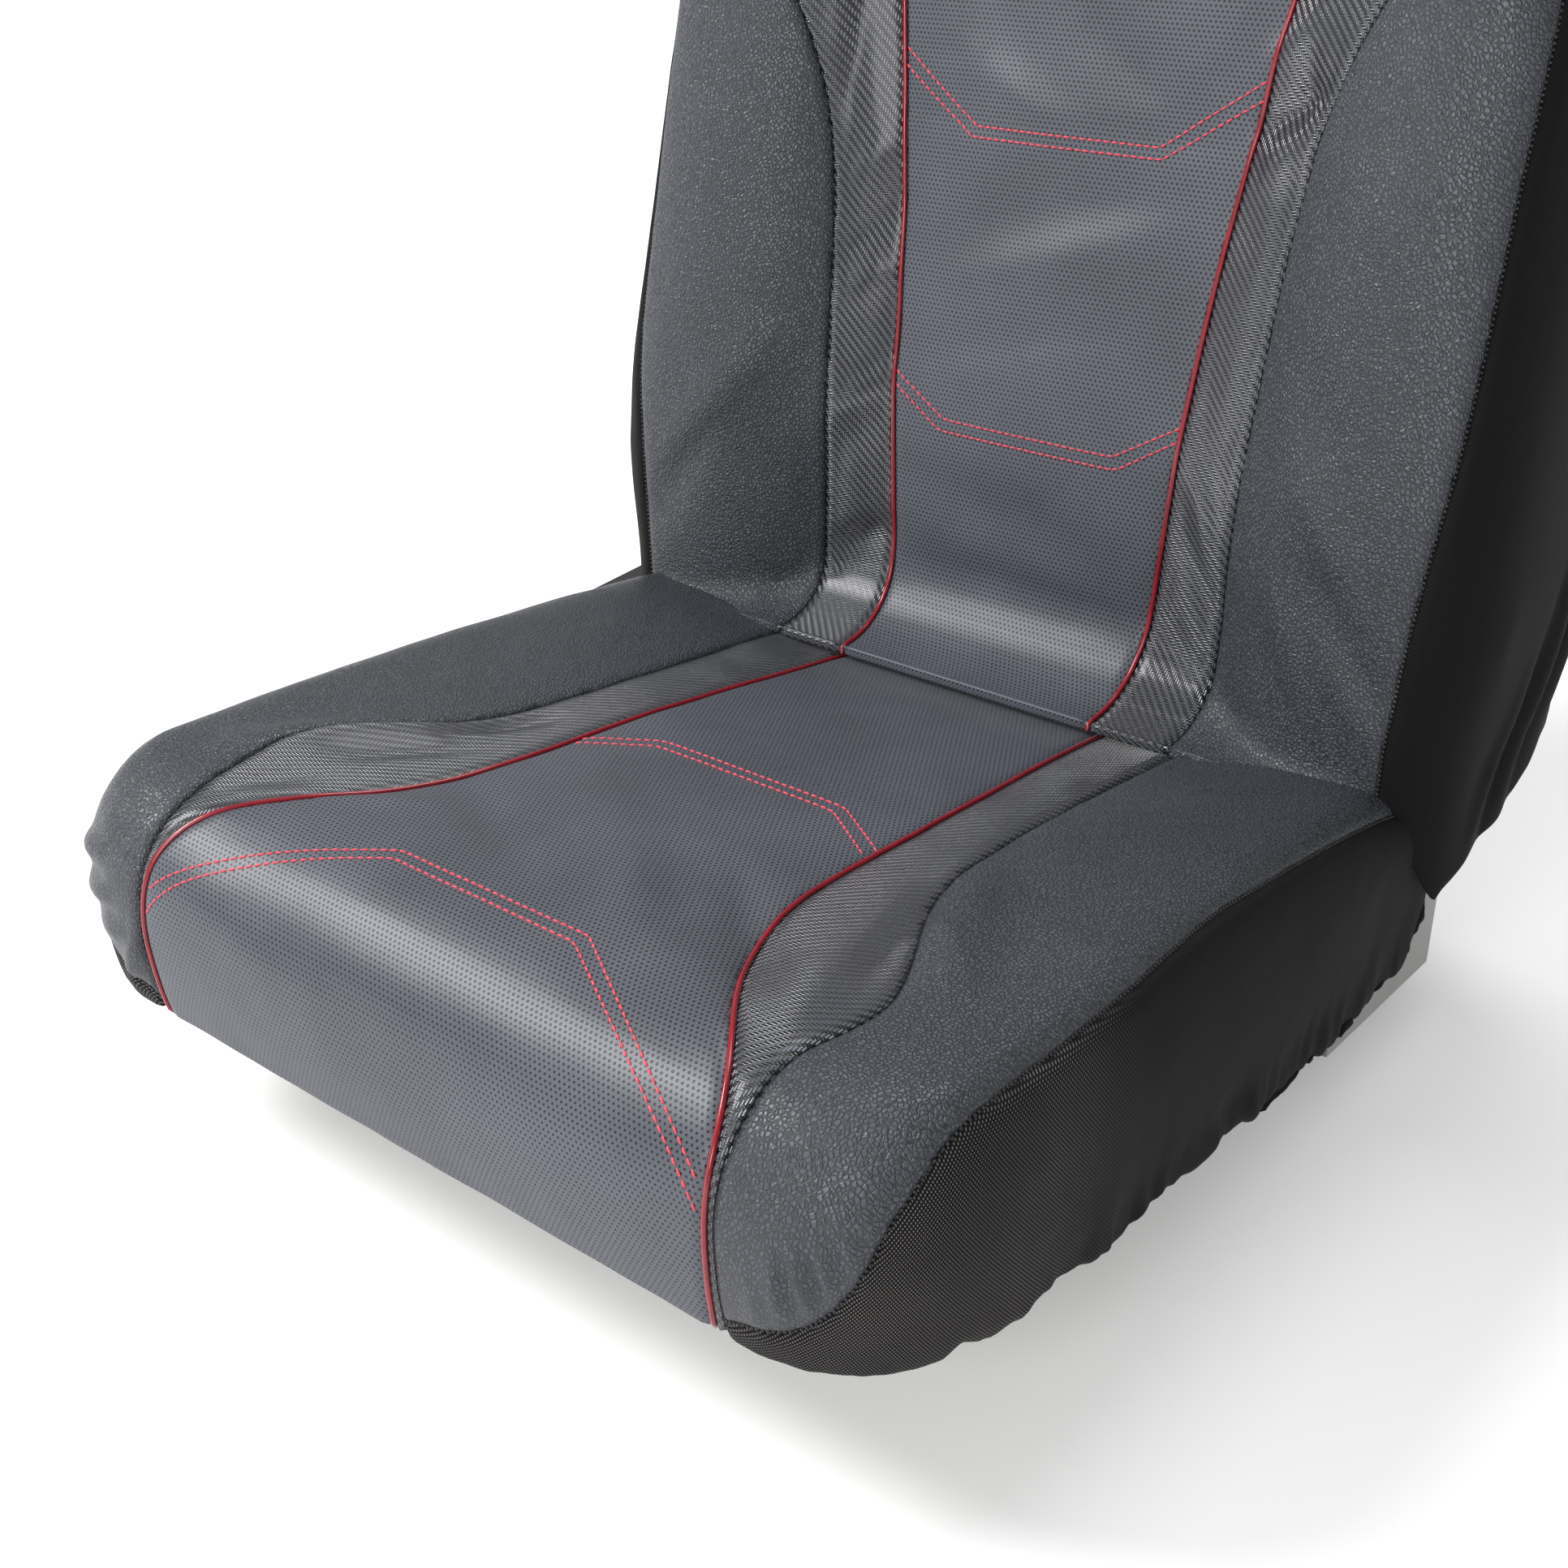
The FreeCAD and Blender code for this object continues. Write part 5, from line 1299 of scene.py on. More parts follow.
class Wardrobe:
    """Every finish of the seat, by its slot in the record."""

    def __init__(self) -> None:
        """Makes the materials."""
        finishes = {
            "perforated_cover": PerforatedCover(),
            "insert_vinyl": TwillVinyl(),
            "bolster_leather": GrainedLeather(),
            "stretch_fabric": RibKnit(),
            "piping": GlossCord(),
            "foam": CutFoam(),
            "rail_steel": Metal("rail_steel", (0.022, 0.022, 0.024), 0.0, 0.42, 500.0, 0.04),
            "frame_steel": Metal("frame_steel", (0.028, 0.028, 0.030), 0.0, 0.40, 420.0, 0.04),
            "slide_steel": Metal("slide_steel", (0.62, 0.63, 0.65), 1.0, 0.34, 800.0, 0.05),
            "roller_steel": Metal("roller_steel", (0.66, 0.67, 0.69), 1.0, 0.22, 900.0, 0.02),
            "spring_steel": Metal("spring_steel", (0.30, 0.31, 0.33), 1.0, 0.38, 700.0, 0.05),
            "recliner_steel": Metal("recliner_steel", (0.50, 0.51, 0.53), 1.0, 0.33, 600.0, 0.05),
            "post_chrome": Metal("post_chrome", (0.80, 0.81, 0.83), 1.0, 0.10, 900.0, 0.01),
            "black_plastic": Moulding("black_plastic", (0.020, 0.020, 0.022)),
            "shield_plastic": Moulding("shield_plastic", (0.46, 0.47, 0.45), 0.46),
        }
        self.materials = {slot: finish.build() for slot, finish in finishes.items()}
        self.red_thread = Thread("red_thread", (0.80, 0.075, 0.11)).build()
        self.dark_thread = Thread("dark_thread", (0.010, 0.010, 0.011)).build()

    def dress(
        self, item: bpy.types.Object, slot: str, material: bpy.types.Material | None = None
    ) -> bpy.types.Object:
        """Puts a slot's finish, or another one, on a piece of the scene.

        Args:
            item: The piece.
            slot: The slot's name.
            material: A finish other than the slot's own, or none.

        Returns:
            The piece.
        """
        item.data.materials.clear()
        item.data.materials.append(material or self.materials[slot])
        return item

    def dress_nodes(self) -> None:
        """Puts the finishes on every CAD node that stays in view."""
        slots = {row["node"]: row["material_slot"] for row in frame["record"]["subparts"]}
        for name, item in frame["nodes"].items():
            for index in range(max(1, len(item.data.materials))):
                if index < len(item.data.materials):
                    item.data.materials[index] = self.materials[slots[name]]
                else:
                    item.data.materials.append(self.materials[slots[name]])


# ---------------------------------------------------------------- covered forms


class CoveredForm:
    """What cushion and back share: covers, piping, edging and stitches on one skin."""

    word: str
    body: str
    voxel: float
    folds: tuple[Fold, ...]

    def padding(self, works: Sequence[bmesh.types.BMesh]) -> bpy.types.Mesh:
        """Joins the closed forms into one skin, which lies deeper by what the padding swells.

        Args:
            works: The closed forms, which are used up.

        Returns:
            The skin.
        """
        mesh = voxelled(self.word + "_form", works, self.voxel * MM)
        move_to(mesh, places_of(mesh) - normals_of(mesh) * COVER_DROP)
        return mesh

    def grown(self, mesh: bpy.types.Mesh, held: np.ndarray) -> bpy.types.Mesh:
        """Swells the padding where it isn't held and divides the skin."""
        name = self.word + "_form"
        return refined(name, swelled(name, mesh, held, COVER_CAP))

    def folded(self, places: np.ndarray, lift: np.ndarray) -> np.ndarray:
        """A lift with this form's folds added to it.

        Args:
            places: Places in millimetres from the bight, one row each.
            lift: The lift of each place.

        Returns:
            The sum.
        """
        for fold in self.folds:
            lift += fold.lift(places)
        return lift

    def settle(self, item: bpy.types.Object, wardrobe: Wardrobe, slot: str, node: str) -> None:
        """Thickens and dresses one cover, hides the CAD node that it stands for, sets it on its body and logs
        its faces.

        Args:
            item: The cover.
            wardrobe: The finishes.
            slot: The finish's slot.
            node: The CAD node that it stands for.
        """
        thickened(item)
        wardrobe.dress(item, slot)
        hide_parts(node)
        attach(item, self.body)
        log.info("%s: %d faces", item.name, len(item.data.polygons))

    def cover_sides(self, skin: Skin, wardrobe: Wardrobe, profile: np.ndarray, knit: str, node: str) -> None:
        """Makes the inserts, bolsters, knit panels and piping of both sides.

        Args:
            skin: The sewn skin.
            wardrobe: The finishes.
            profile: The middle's side profile, along which the weave runs.
            knit: The knit panel's name.
            node: The name of the CAD node that the knit panel stands for.
        """
        for side, hand in SIDES:
            insert = laid_out(skin.part(f"{self.word}_insert_cover_{hand}", Panel.INSERT, side), profile)
            self.settle(insert, wardrobe, "insert_vinyl", f"{self.word}_insert_{hand}")
            bolster = skin.part(f"{self.word}_bolster_leather_{hand}", Panel.BOLSTER, side)
            self.settle(bolster, wardrobe, "bolster_leather", f"{self.word}_bolster_cover_{hand}")
            outer = skin.part(f"{self.word}_{knit}_{hand}", Panel.SIDE, side)
            self.settle(outer, wardrobe, "stretch_fabric", f"{self.word}_{node}_{hand}")
            self.pipe(skin, wardrobe, side, hand)

    def pipe(self, skin: Skin, wardrobe: Wardrobe, side: int, hand: str) -> None:
        """Lays one piping cord in its seam.

        Args:
            skin: The sewn skin.
            wardrobe: The finishes.
            side: 1 on the right, -1 on the left.
            hand: The side's word in names.
        """
        stand, radius = 1.3, 1.4
        path = evened(skin.path({Panel.CENTRE, Panel.INSERT}, side), PATH_STEP, 6)
        line = [place + normal * stand * MM for place, normal in path]
        cord = tube(f"{self.word}_piping_cord_{hand}", line, radius)
        wardrobe.dress(cord, "piping")
        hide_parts(f"{self.word}_piping_{hand}")
        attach(cord, self.body)
        log.info("%s: %d points", cord.name, len(path))

    def sew_rows(self, wardrobe: Wardrobe, rows: Sequence[Sequence[tuple[Vector, Vector]]]) -> None:
        """Sews the red chevrons on the centre cover.

        Args:
            wardrobe: The finishes.
            rows: The rows, each of places and normals.
        """
        piece = stitches(self.word + "_red_stitches", rows, length=4.2, width=1.35, gap=0.7)
        wardrobe.dress(piece, "piping", wardrobe.red_thread)
        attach(piece, self.body)
        log.info("%s: %d faces", piece.name, len(piece.data.polygons))

    def sew_edges(self, skin: Skin, wardrobe: Wardrobe) -> None:
        """Overlocks the edges between bolster leather and knit.

        Args:
            skin: The sewn skin.
            wardrobe: The finishes.
        """
        edge = overlocked(self.word + "_dark_edging", skin, {Panel.BOLSTER, Panel.SIDE})
        wardrobe.dress(edge, "stretch_fabric", wardrobe.dark_thread)
        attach(edge, self.body)


# ---------------------------------------------------------------- cushion


@dataclass
class Cushion(CoveredForm):
    """The cushion's covers, piping and stitching. Sizes are in millimetres, places from the bight."""

    half_width: float = 280.0
    widening: float = 4.0
    reach: float = 447.0
    crest: float = 28.0
    bolster: float = 13.0
    front_drop: float = 90.0
    hem_drop: float = 104.0
    hem_rear_drop: float = 92.0
    rear_fall: float = 4.0
    side_roll: float = 36.0
    corner: float = 74.0
    piping_rear: float = 93.0
    piping_front: float = 187.0
    insert_rear: float = 142.0
    insert_wide: float = 199.0
    hub_reach: float = 100.0
    hub_drop: float = 25.0
    hub_clear: float = 63.0
    tuck: float = 22.0
    voxel: float = 6.0
    word: str = "cushion"
    body: str = "seat"
    folds: tuple[Fold, ...] = (
        Fold((-212, -352, 33), (-150, -258, 28), 15, 6.0),
        Fold((-150, -268, 27), (-128, -212, 24), 7, -5.0),
        Fold((-168, -330, 30), (-124, -262, 26), 9, -2.5),
        Fold((-192, -402, 24), (-160, -352, 30), 10, -2.0), Fold((152, -205, 24), (214, -322, 34), 14, 4.5),
        Fold((150, -232, 26), (176, -318, 30), 9, -3.5), Fold((150, -318, 29), (188, -398, 27), 16, 3.0),
        Fold((168, -262, 28), (196, -292, 31), 7, 2.5), Fold((-150, -375, 30), (-90, -330, 28), 8, 2.6),
        Fold((-100, -300, 26), (-20, -345, 30), 13, -2.4), Fold((20, -300, 26), (90, -385, 28), 15, 2.6),
        Fold((70, -280, 26), (140, -355, 28), 11, -2.8), Fold((-60, -240, 24), (30, -330, 28), 20, 1.2),
        Fold((-120, -437, -20), (120, -437, -20), 26, -1.0),
        Fold((-172, -440, 6), (-40, -452, -30), 16, 1.6), Fold((176, -436, 0), (60, -450, -40), 18, 1.6),
        Fold((-262, -418, -14), (-232, -436, -8), 6, 5.0),
        Fold((-254, -424, -34), (-222, -440, -26), 6, 5.5),
        Fold((-246, -424, -52), (-212, -442, -44), 6, 5.0),
        Fold((-258, -420, -24), (-226, -438, -17), 4.5, -4.5),
        Fold((-250, -424, -43), (-216, -441, -35), 4.5, -4.5),
        Fold((-214, -440, -78), (-196, -444, -40), 6, 3.5),
        Fold((248, -436, -44), (240, -440, -12), 5, 3.4), Fold((238, -440, -54), (231, -443, -18), 5, 3.6),
        Fold((226, -443, -62), (222, -445, -24), 5, 3.2), Fold((256, -431, -34), (250, -434, -4), 5, 2.8),
        Fold((243, -438, -48), (235, -441, -14), 3.6, -3.4),
        Fold((232, -441, -58), (226, -444, -22), 3.6, -3.2),
        Fold((214, -444, -70), (214, -446, -40), 6, 2.4),
        Fold((252, -434, -40), (245, -437, -8), 3.4, -2.8), Fold((262, -424, -16), (258, -428, 8), 5, 1.8),
    )

    def piping_seam(self) -> Seam:
        """The seam between centre and insert, in plan from the rear to the front.

        Returns:
            The seam.
        """
        rear, front, reach = self.piping_rear, self.piping_front, self.reach
        return Seam(View.PLAN, (
            (rear - 2, 100), (rear, -0.05 * reach), (rear + 9, -0.45 * reach), (rear + 20, -0.70 * reach),
            (0.45 * rear + 0.55 * front, -0.835 * reach), (front - 11, -0.93 * reach),
            (front, -0.985 * reach), (front - 1, -reach - 40),
        ))

    def insert_seam(self) -> Seam:
        """The seam between insert and bolster, in plan from the rear to the front.

        Returns:
            The seam.
        """
        rear, wide, front, reach = self.insert_rear, self.insert_wide, self.piping_front, self.reach
        return Seam(View.PLAN, (
            (rear - 1, 100), (rear, -0.1 * reach), (rear + 3, -0.42 * reach),
            (0.72 * rear + 0.28 * wide, -0.57 * reach), (0.3 * rear + 0.7 * wide, -0.67 * reach),
            (wide, -0.765 * reach), (0.5 * (wide + front), -0.89 * reach),
            (front + 5, -0.955 * reach), (front + 3, -reach - 40),
        ))

    def skirt_seam(self) -> Seam:
        """The seam between bolster leather and skirt, in the side view.

        Returns:
            The seam.
        """
        reach, crest, drop = self.reach, self.crest, self.front_drop
        return Seam(View.SIDE, (
            (100, -0.75 * crest), (0, 0.13 * crest), (-0.19 * reach, 0.52 * crest),
            (-0.36 * reach, 0.77 * crest),
            (-0.57 * reach, 0.85 * crest), (-0.76 * reach, 0.87 * crest),
            (-0.845 * reach, 0.79 * crest),
            (-0.895 * reach, 0.42 * crest), (-0.93 * reach, -0.03 * drop), (-0.95 * reach, -0.24 * drop),
            (-0.95 * reach, -200),
        ))

    def corner_seam(self) -> Seam:
        """The same seam round the front corner, in the front view from the top down.

        Returns:
            The seam.
        """
        half, drop = self.half_width, self.front_drop
        return Seam(View.FRONT, (
            (half - 8, 60), (half - 14, 12), (half - 18, -3), (half - 22, -21), (half - 27, -34),
            (half - 34, -46), (half - 43, -57), (half - 56, -66), (half - 80, -74), (half - 98, -0.97 * drop),
            (half - 112, -130),
        ))

    def ring(self, x: float, turn: float) -> np.ndarray:
        """One closed side profile of the form.

        Args:
            x: The profile's place across the seat.
            turn: The roll angle at the side, in degrees.

        Returns:
            The places in order.
        """
        rolled = self.side_roll * (1 - math.cos(math.radians(turn)))
        over = abs(x) * (1 + self.widening / self.half_width) - (self.half_width + self.widening - self.corner)
        setback = self.corner - math.sqrt(max(self.corner ** 2 - max(over, 0.0) ** 2, 0.0))
        share = setback / self.corner
        crest_x = self.half_width - self.side_roll
        raised = self.bolster * eased((abs(x) - self.piping_rear) / (crest_x - self.piping_rear))
        nose_y = -self.reach + setback
        rear_z = -self.rear_fall - rolled + 1.2 * raised
        crest_z = self.crest - rolled + 0.55 * raised
        rear_y = self.hub_reach - math.sqrt(self.hub_clear ** 2 - (rear_z + self.hub_drop) ** 2)
        top_rear = (rear_y, rear_z)
        middle = (-0.35 * self.reach, 0.5 * self.crest + 2 - rolled + raised)
        top_crest = (nose_y + 72 - 26 * share, crest_z)
        nose_top = (nose_y + 19 - 6 * share, crest_z - 17)
        nose = (nose_y, -0.30 * self.front_drop - 0.4 * rolled)
        nose_low = (nose_y + 1.5 + 8 * share, -0.62 * self.front_drop)
        front_low = (nose_y + 8 + 26 * share, -self.front_drop + 8 * share)
        hem = (-0.38 * self.reach, -self.hem_drop)
        outer = 1 - math.cos(math.radians(turn))
        hem_rear = (rear_y - 30 + 30 * outer, -self.hem_rear_drop - 18 * outer)
        rear_middle = (rear_y - 5 + 30 * outer, -0.5 * self.hem_rear_drop - 24 * outer)
        profile = bowed(top_rear, middle, top_crest, 36) + bowed(top_crest, nose_top, nose, 12)
        profile += bowed(nose, nose_low, front_low, 8) + bowed(front_low, hem, hem_rear, 30)
        profile += bowed(hem_rear, rear_middle, top_rear, 10)
        spread = self.widening / self.half_width / self.reach
        return np.array([(x * (1 - spread * y), y, z) for y, z in profile])

    def form(self) -> bmesh.types.BMesh:
        """The cushion's closed form.

        Returns:
            The work mesh.
        """
        crest_x = self.half_width - self.side_roll
        half = [(crest_x * share, 0.0) for share in np.linspace(0, 1, 15)[1:]]
        turns = (12, 24, 36, 48, 60, 72, 82, 90)
        half += [(crest_x + self.side_roll * math.sin(math.radians(turn)), turn) for turn in turns]
        stations = [(-x, turn) for x, turn in reversed(half)] + [(0.0, 0.0)] + half
        return lofted([(self.ring(x, turn) + BIGHT) * MM for x, turn in stations])

    def profile(self) -> np.ndarray:
        """The middle's (y, z) line from the rear over the nose, along which the weave runs.

        Returns:
            The points in order.
        """
        ring = self.ring(0.0, 0.0)[:60, 1:]
        lead = ring[0] + (ring[0] - ring[1]) * 30
        tail = ring[56] + (ring[56] - ring[55]) * 6
        return np.vstack([lead, ring[:57], tail])

    def cut_away(self, places: np.ndarray) -> np.ndarray:
        """Above zero under the seat, where the covers are open.

        Args:
            places: Places in millimetres from the bight, one row each.

        Returns:
            The measure of each place.
        """
        x, y, z = places.T
        inset = np.minimum(self.half_width - self.tuck - np.abs(x), y + self.reach - 34)
        under = np.minimum(inset, -(z + 86))
        rear = np.minimum(y - 8, -(z + 24))
        return np.maximum(under, np.minimum(rear, self.half_width - self.tuck - np.abs(x)))

    def outside_skirt(self, places: np.ndarray) -> np.ndarray:
        """Above zero on the skirt's side of its seam.

        Args:
            places: Places in millimetres from the bight, one row each.

        Returns:
            The measure of each place.
        """
        beside = np.minimum(self.skirt_seam().measure(places), np.abs(places[:, 0]) - (self.half_width - 60))
        ahead = np.clip((-0.895 * self.reach - places[:, 1]) / 8 + 0.5, 0, 1)
        return beside + (self.corner_seam().measure(places) - beside) * ahead

    def shaped(self) -> bpy.types.Mesh:
        """The form after its padding has swelled between the seams.

        Returns:
            The skin.
        """
        mesh = self.padding([self.form()])
        places = places_of(mesh)
        skirt = np.where(np.abs(places[:, 0]) > 170, np.abs(self.outside_skirt(places)), FAR_OFF)
        piping, insert = (np.abs(seam.measure(places)) for seam in (self.piping_seam(), self.insert_seam()))
        seams = np.minimum(np.minimum(piping, insert), skirt)
        held = np.clip(1.2 - seams / HOLD_WIDTH, 0, 1)
        held = np.maximum(held, np.clip((places[:, 1] + 30) / 25, 0, 1))
        held = np.maximum(held, np.clip((-70 - places[:, 2]) / 15, 0, 1))
        mesh = self.grown(mesh, held)
        places, normals = places_of(mesh), normals_of(mesh)
        lift = 0.7 * ripple(places, (90, 70, 60), 3.1) + 0.35 * ripple(places, (26, 30, 22), 8.7)
        lift = self.folded(places, lift * np.clip((-10 - places[:, 1]) / 30, 0, 1))
        side = np.clip((np.abs(places[:, 0]) - 250) / 20, 0, 1)
        hem = np.clip((-48 - places[:, 2]) / 40, 0, 1) * side
        lift += hem * 3.2 * ripple(places, (300, 26, 60), 1.7)
        lift += hem ** 2 * 1.8 * ripple(places, (300, 9, 40), 5.2)
        moved = places + normals * lift[:, None]
        wide, narrow = ripple(places, (300, 34, 400), 7.7), ripple(places, (300, 13, 400), 2.9)
        moved[:, 2] += hem * (5.0 * wide + 4.0 * np.abs(narrow))
        move_to(mesh, moved)
        return mesh

    def build(self, wardrobe: Wardrobe) -> None:
        """Makes the covers, piping and stitch rows and sets them on the seat.

        Args:
            wardrobe: The finishes.
        """
        skin = Skin(self.shaped())
        skin.cut(self.cut_away, Panel.CENTRE, Panel.GONE)
        skin.drop(Panel.GONE)
        skin.cut(self.piping_seam().measure, Panel.CENTRE, Panel.INSERT)
        skin.cut(self.insert_seam().measure, Panel.INSERT, Panel.BOLSTER)
        skin.cut(self.outside_skirt, Panel.BOLSTER, Panel.SIDE)
        skin.sew(2.4, 6.5)
        profile = self.profile()
        centre = laid_out(skin.part("cushion_centre_cover", Panel.CENTRE), profile)
        self.settle(centre, wardrobe, "perforated_cover", "cushion_centre_panel")
        self.cover_sides(skin, wardrobe, profile, "skirt_knit", "skirt")
        self.sew_rows(wardrobe, self.chevrons(Ground(skin)))
        self.sew_edges(skin, wardrobe)

    def chevrons(self, ground: Ground) -> list[list[tuple[Vector, Vector]]]:
        """The stitch rows of the two chevrons on the centre cover.

        Args:
            ground: The covers on which they lie.

        Returns:
            The rows.
        """
        rear = ((101, -219, 20), (62, -195, 23), (-62, -195, 23), (-101, -219, 20))
        rear_second = tuple((x * 0.97, y - 7.5, z) for x, y, z in rear)
        front = ((182, -440, -10), (62, -375, 23), (-62, -375, 23), (-182, -440, -10))
        front_second = ((184, -444, -20), (60, -382, 22), (-60, -382, 22), (-184, -444, -20))
        return [ground.row(row, (0, 0.35, -1)) for row in (rear, rear_second, front, front_second)]


# ---------------------------------------------------------------- back


@dataclass
class Backrest(CoveredForm):
    """The back's covers, piping and stitching. Sizes are in millimetres, places from the bight."""

    height: float = 622.0
    half_width: float = 301.0
    foot_half_width: float = 293.0
    shoulder_half_width: float = 276.0
    recess: float = 47.0
    bolster: float = 48.0
    bolster_crest: float = 240.0
    lean: float = 9.6
    rear: float = 204.0
    top_depth: float = 112.0
    side_roll: float = 56.0
    rear_roll: float = 58.0
    shoulder: float = 165.0
    toe: float = 9.0
    toe_height: float = 10.0
    fillet_height: float = 60.0
    piping_foot: float = 88.0
    insert_foot: float = 139.0
    flap: tuple[tuple[float, float], ...] = (
        (-8.0, 1.6), (2.0, -4.0), (9.0, -12.0), (16.0, -27.0), (24.0, -44.0), (31.0, -53.0), (36.0, -47.0),
        (60.0, -34.0), (89.0, -25.0), (112.0, -17.0), (126.0, -8.0), (140.0, 6.0), (172.0, 14.0), (216.0, 20.0),
    )
    flap_inner: float = 262.0
    edge_seam_inset: float = 36.0
    hub_reach: float = 100.0
    hub_clear: float = 61.0
    bight_gap: float = 1.6
    foot: float = -110.0
    voxel: float = 6.0
    levels: tuple[float, ...] = (0.0, 0.10, 0.24, 0.48, 0.735, 0.85, 0.925, 0.97, 0.993, 1.0)
    pinches: tuple[float, ...] = (0, 0, 0, 0, 0, 2, 8, 18, 33, 44)
    word: str = "back"
    body: str = "backrest"
    folds: tuple[Fold, ...] = (
        Fold((118, 78, 322), (172, 70, 356), 9, -6.0), Fold((112, 82, 348), (150, 78, 384), 12, 5.0),
        Fold((124, 76, 296), (160, 66, 330), 12, 4.0), Fold((-116, 76, 300), (-138, 66, 262), 10, 1.8),
        Fold((-112, 72, 262), (-138, 60, 226), 9, -2.2), Fold((-108, 68, 226), (-136, 56, 196), 10, 1.8),
        Fold((-104, 58, 160), (-138, 46, 128), 12, 3.0), Fold((-100, 48, 66), (-136, 34, 44), 9, -4.0),
        Fold((-60, 80, 340), (10, 76, 300), 14, 3.2), Fold((0, 86, 372), (70, 80, 318), 15, -3.2),
        Fold((-74, 68, 250), (66, 72, 292), 19, -2.2), Fold((-74, 64, 214), (74, 68, 262), 15, 2.4),
        Fold((-80, 60, 178), (60, 62, 214), 14, -2.6), Fold((-80, 50, 104), (60, 50, 80), 20, -2.4),
        Fold((-76, 44, 56), (78, 44, 50), 10, -2.0), Fold((104, 50, 150), (134, 38, 96), 9, 2.6),
        Fold((108, 46, 108), (138, 34, 58), 8, -2.8), Fold((186, 12, 170), (232, 2, 92), 16, 4.0),
        Fold((196, 10, 140), (246, 2, 60), 12, -4.0), Fold((170, 16, 112), (212, 2, 48), 12, 3.0),
        Fold((214, 0, 92), (262, 8, 22), 11, 3.0), Fold((160, 26, 232), (206, 16, 176), 18, -2.6),
        Fold((176, 34, 330), (232, 30, 270), 20, 2.4), Fold((210, 40, 420), (250, 44, 350), 22, -2.4),
        Fold((-180, 16, 172), (-228, 2, 96), 16, 3.5), Fold((-200, 10, 130), (-246, 4, 60), 12, -3.5),
        Fold((287, 52, -40), (296, 84, 70), 7, 3.0), Fold((290, 70, -34), (299, 108, 110), 6, -3.2),
        Fold((291, 88, -26), (301, 128, 140), 8, 3.6), Fold((292, 106, -20), (301, 150, 170), 7, -3.6),
        Fold((292, 130, -4), (300, 172, 230), 9, 3.2), Fold((290, 160, 14), (296, 196, 250), 9, -2.6),
        Fold((-287, 52, -40), (-296, 84, 70), 7, 3.0), Fold((-291, 88, -26), (-301, 128, 140), 8, 3.6),
        Fold((-292, 106, -20), (-301, 150, 170), 7, -3.6), Fold((-292, 130, -4), (-300, 172, 230), 9, 3.2),
    )

    def front_at(self, z: float) -> float:
        """How far the front's middle lies behind the bight at a height.

        Args:
            z: The height over the bight.

        Returns:
            The distance.
        """
        if z <= 150:
            return self.recess + 3 * (z / 150) ** 2
        return self.recess + 3 + math.tan(math.radians(self.lean)) * (z - 150)

    def rear_at(self, z: float) -> float:
        """How far the rear lies behind the bight at a height.

        Args:
            z: The height over the bight.

        Returns:
            The distance.
        """
        share = max(z, 0) / self.height
        top = self.front_at(self.height) + self.top_depth
        return self.rear + (top - self.rear) * share * share

    def half_at(self, z: float) -> float:
        """The half width at a height.

        Args:
            z: The height over the bight.

        Returns:
            The half width.
        """
        start = self.height - self.shoulder
        widest = 0.16 * self.height
        if z < widest:
            width = self.foot_half_width + (self.half_width - self.foot_half_width) * eased(z / widest)
        else:
            share = (z - widest) / (start - widest)
            width = self.half_width + (self.shoulder_half_width - self.half_width) * share
        over = (z - start) / self.shoulder
        if over > 0:
            width -= 0.5 * self.half_width * (1 - math.sqrt(max(1 - over ** 2.2, 0)))
        return width

    def ring(self, z: float) -> np.ndarray:
        """One closed level section of the form.

        Args:
            z: The height over the bight.

        Returns:
            The places in order.
        """
        pinch = float(np.interp(z / self.height, self.levels, self.pinches))
        front = self.front_at(z) + pinch
        rear = self.rear_at(z) - pinch
        half = self.half_at(z)
        crest_x = half - (self.half_width - self.bolster_crest)
        fade = min(1.0, max(0.0, (self.height - z) / (0.5 * self.shoulder)))
        rise = self.bolster * (0.35 + 0.65 * fade)
        flat = min(self.piping_foot + 4, 0.6 * crest_x)
        turn_x = 0.5 * (flat + crest_x)
        depth = rear - (front - rise)
        side_roll = min(self.side_roll, 0.42 * depth)
        rear_roll = min(self.rear_roll, 0.30 * depth)
        crest_y = front - rise
        quarter = 0.5 * (turn_x - flat)
        spans = (
            ((0, front), (0.5 * flat, front), (flat, front), 5),
            ((flat, front), (flat + quarter * 1.1, front - 0.14 * rise), (turn_x, front - 0.5 * rise), 6),
            ((turn_x, front - 0.5 * rise), (crest_x - quarter * 1.1, front - 0.86 * rise),
             (crest_x, crest_y), 6),
            ((crest_x, crest_y), (crest_x + 0.79 * (half - crest_x), crest_y + 0.29 * side_roll),
             (half, crest_y + side_roll), 8),
            ((half, crest_y + side_roll), (half + 1.5, 0.5 * (crest_y + rear)), (half, rear - rear_roll), 6),
            ((half, rear - rear_roll), (half - 0.30 * rear_roll, rear - 0.30 * rear_roll),
             (half - rear_roll, rear), 8),
            ((half - rear_roll, rear), (0.5 * half, rear + 5), (0, rear + 7), 10),
        )
        right = [place for span in spans for place in bowed(*span)]
        left = [(-x, y) for x, y in reversed(right[1:])]
        return np.array([(x, y, z) for x, y in right + [(0, rear + 7)] + left])

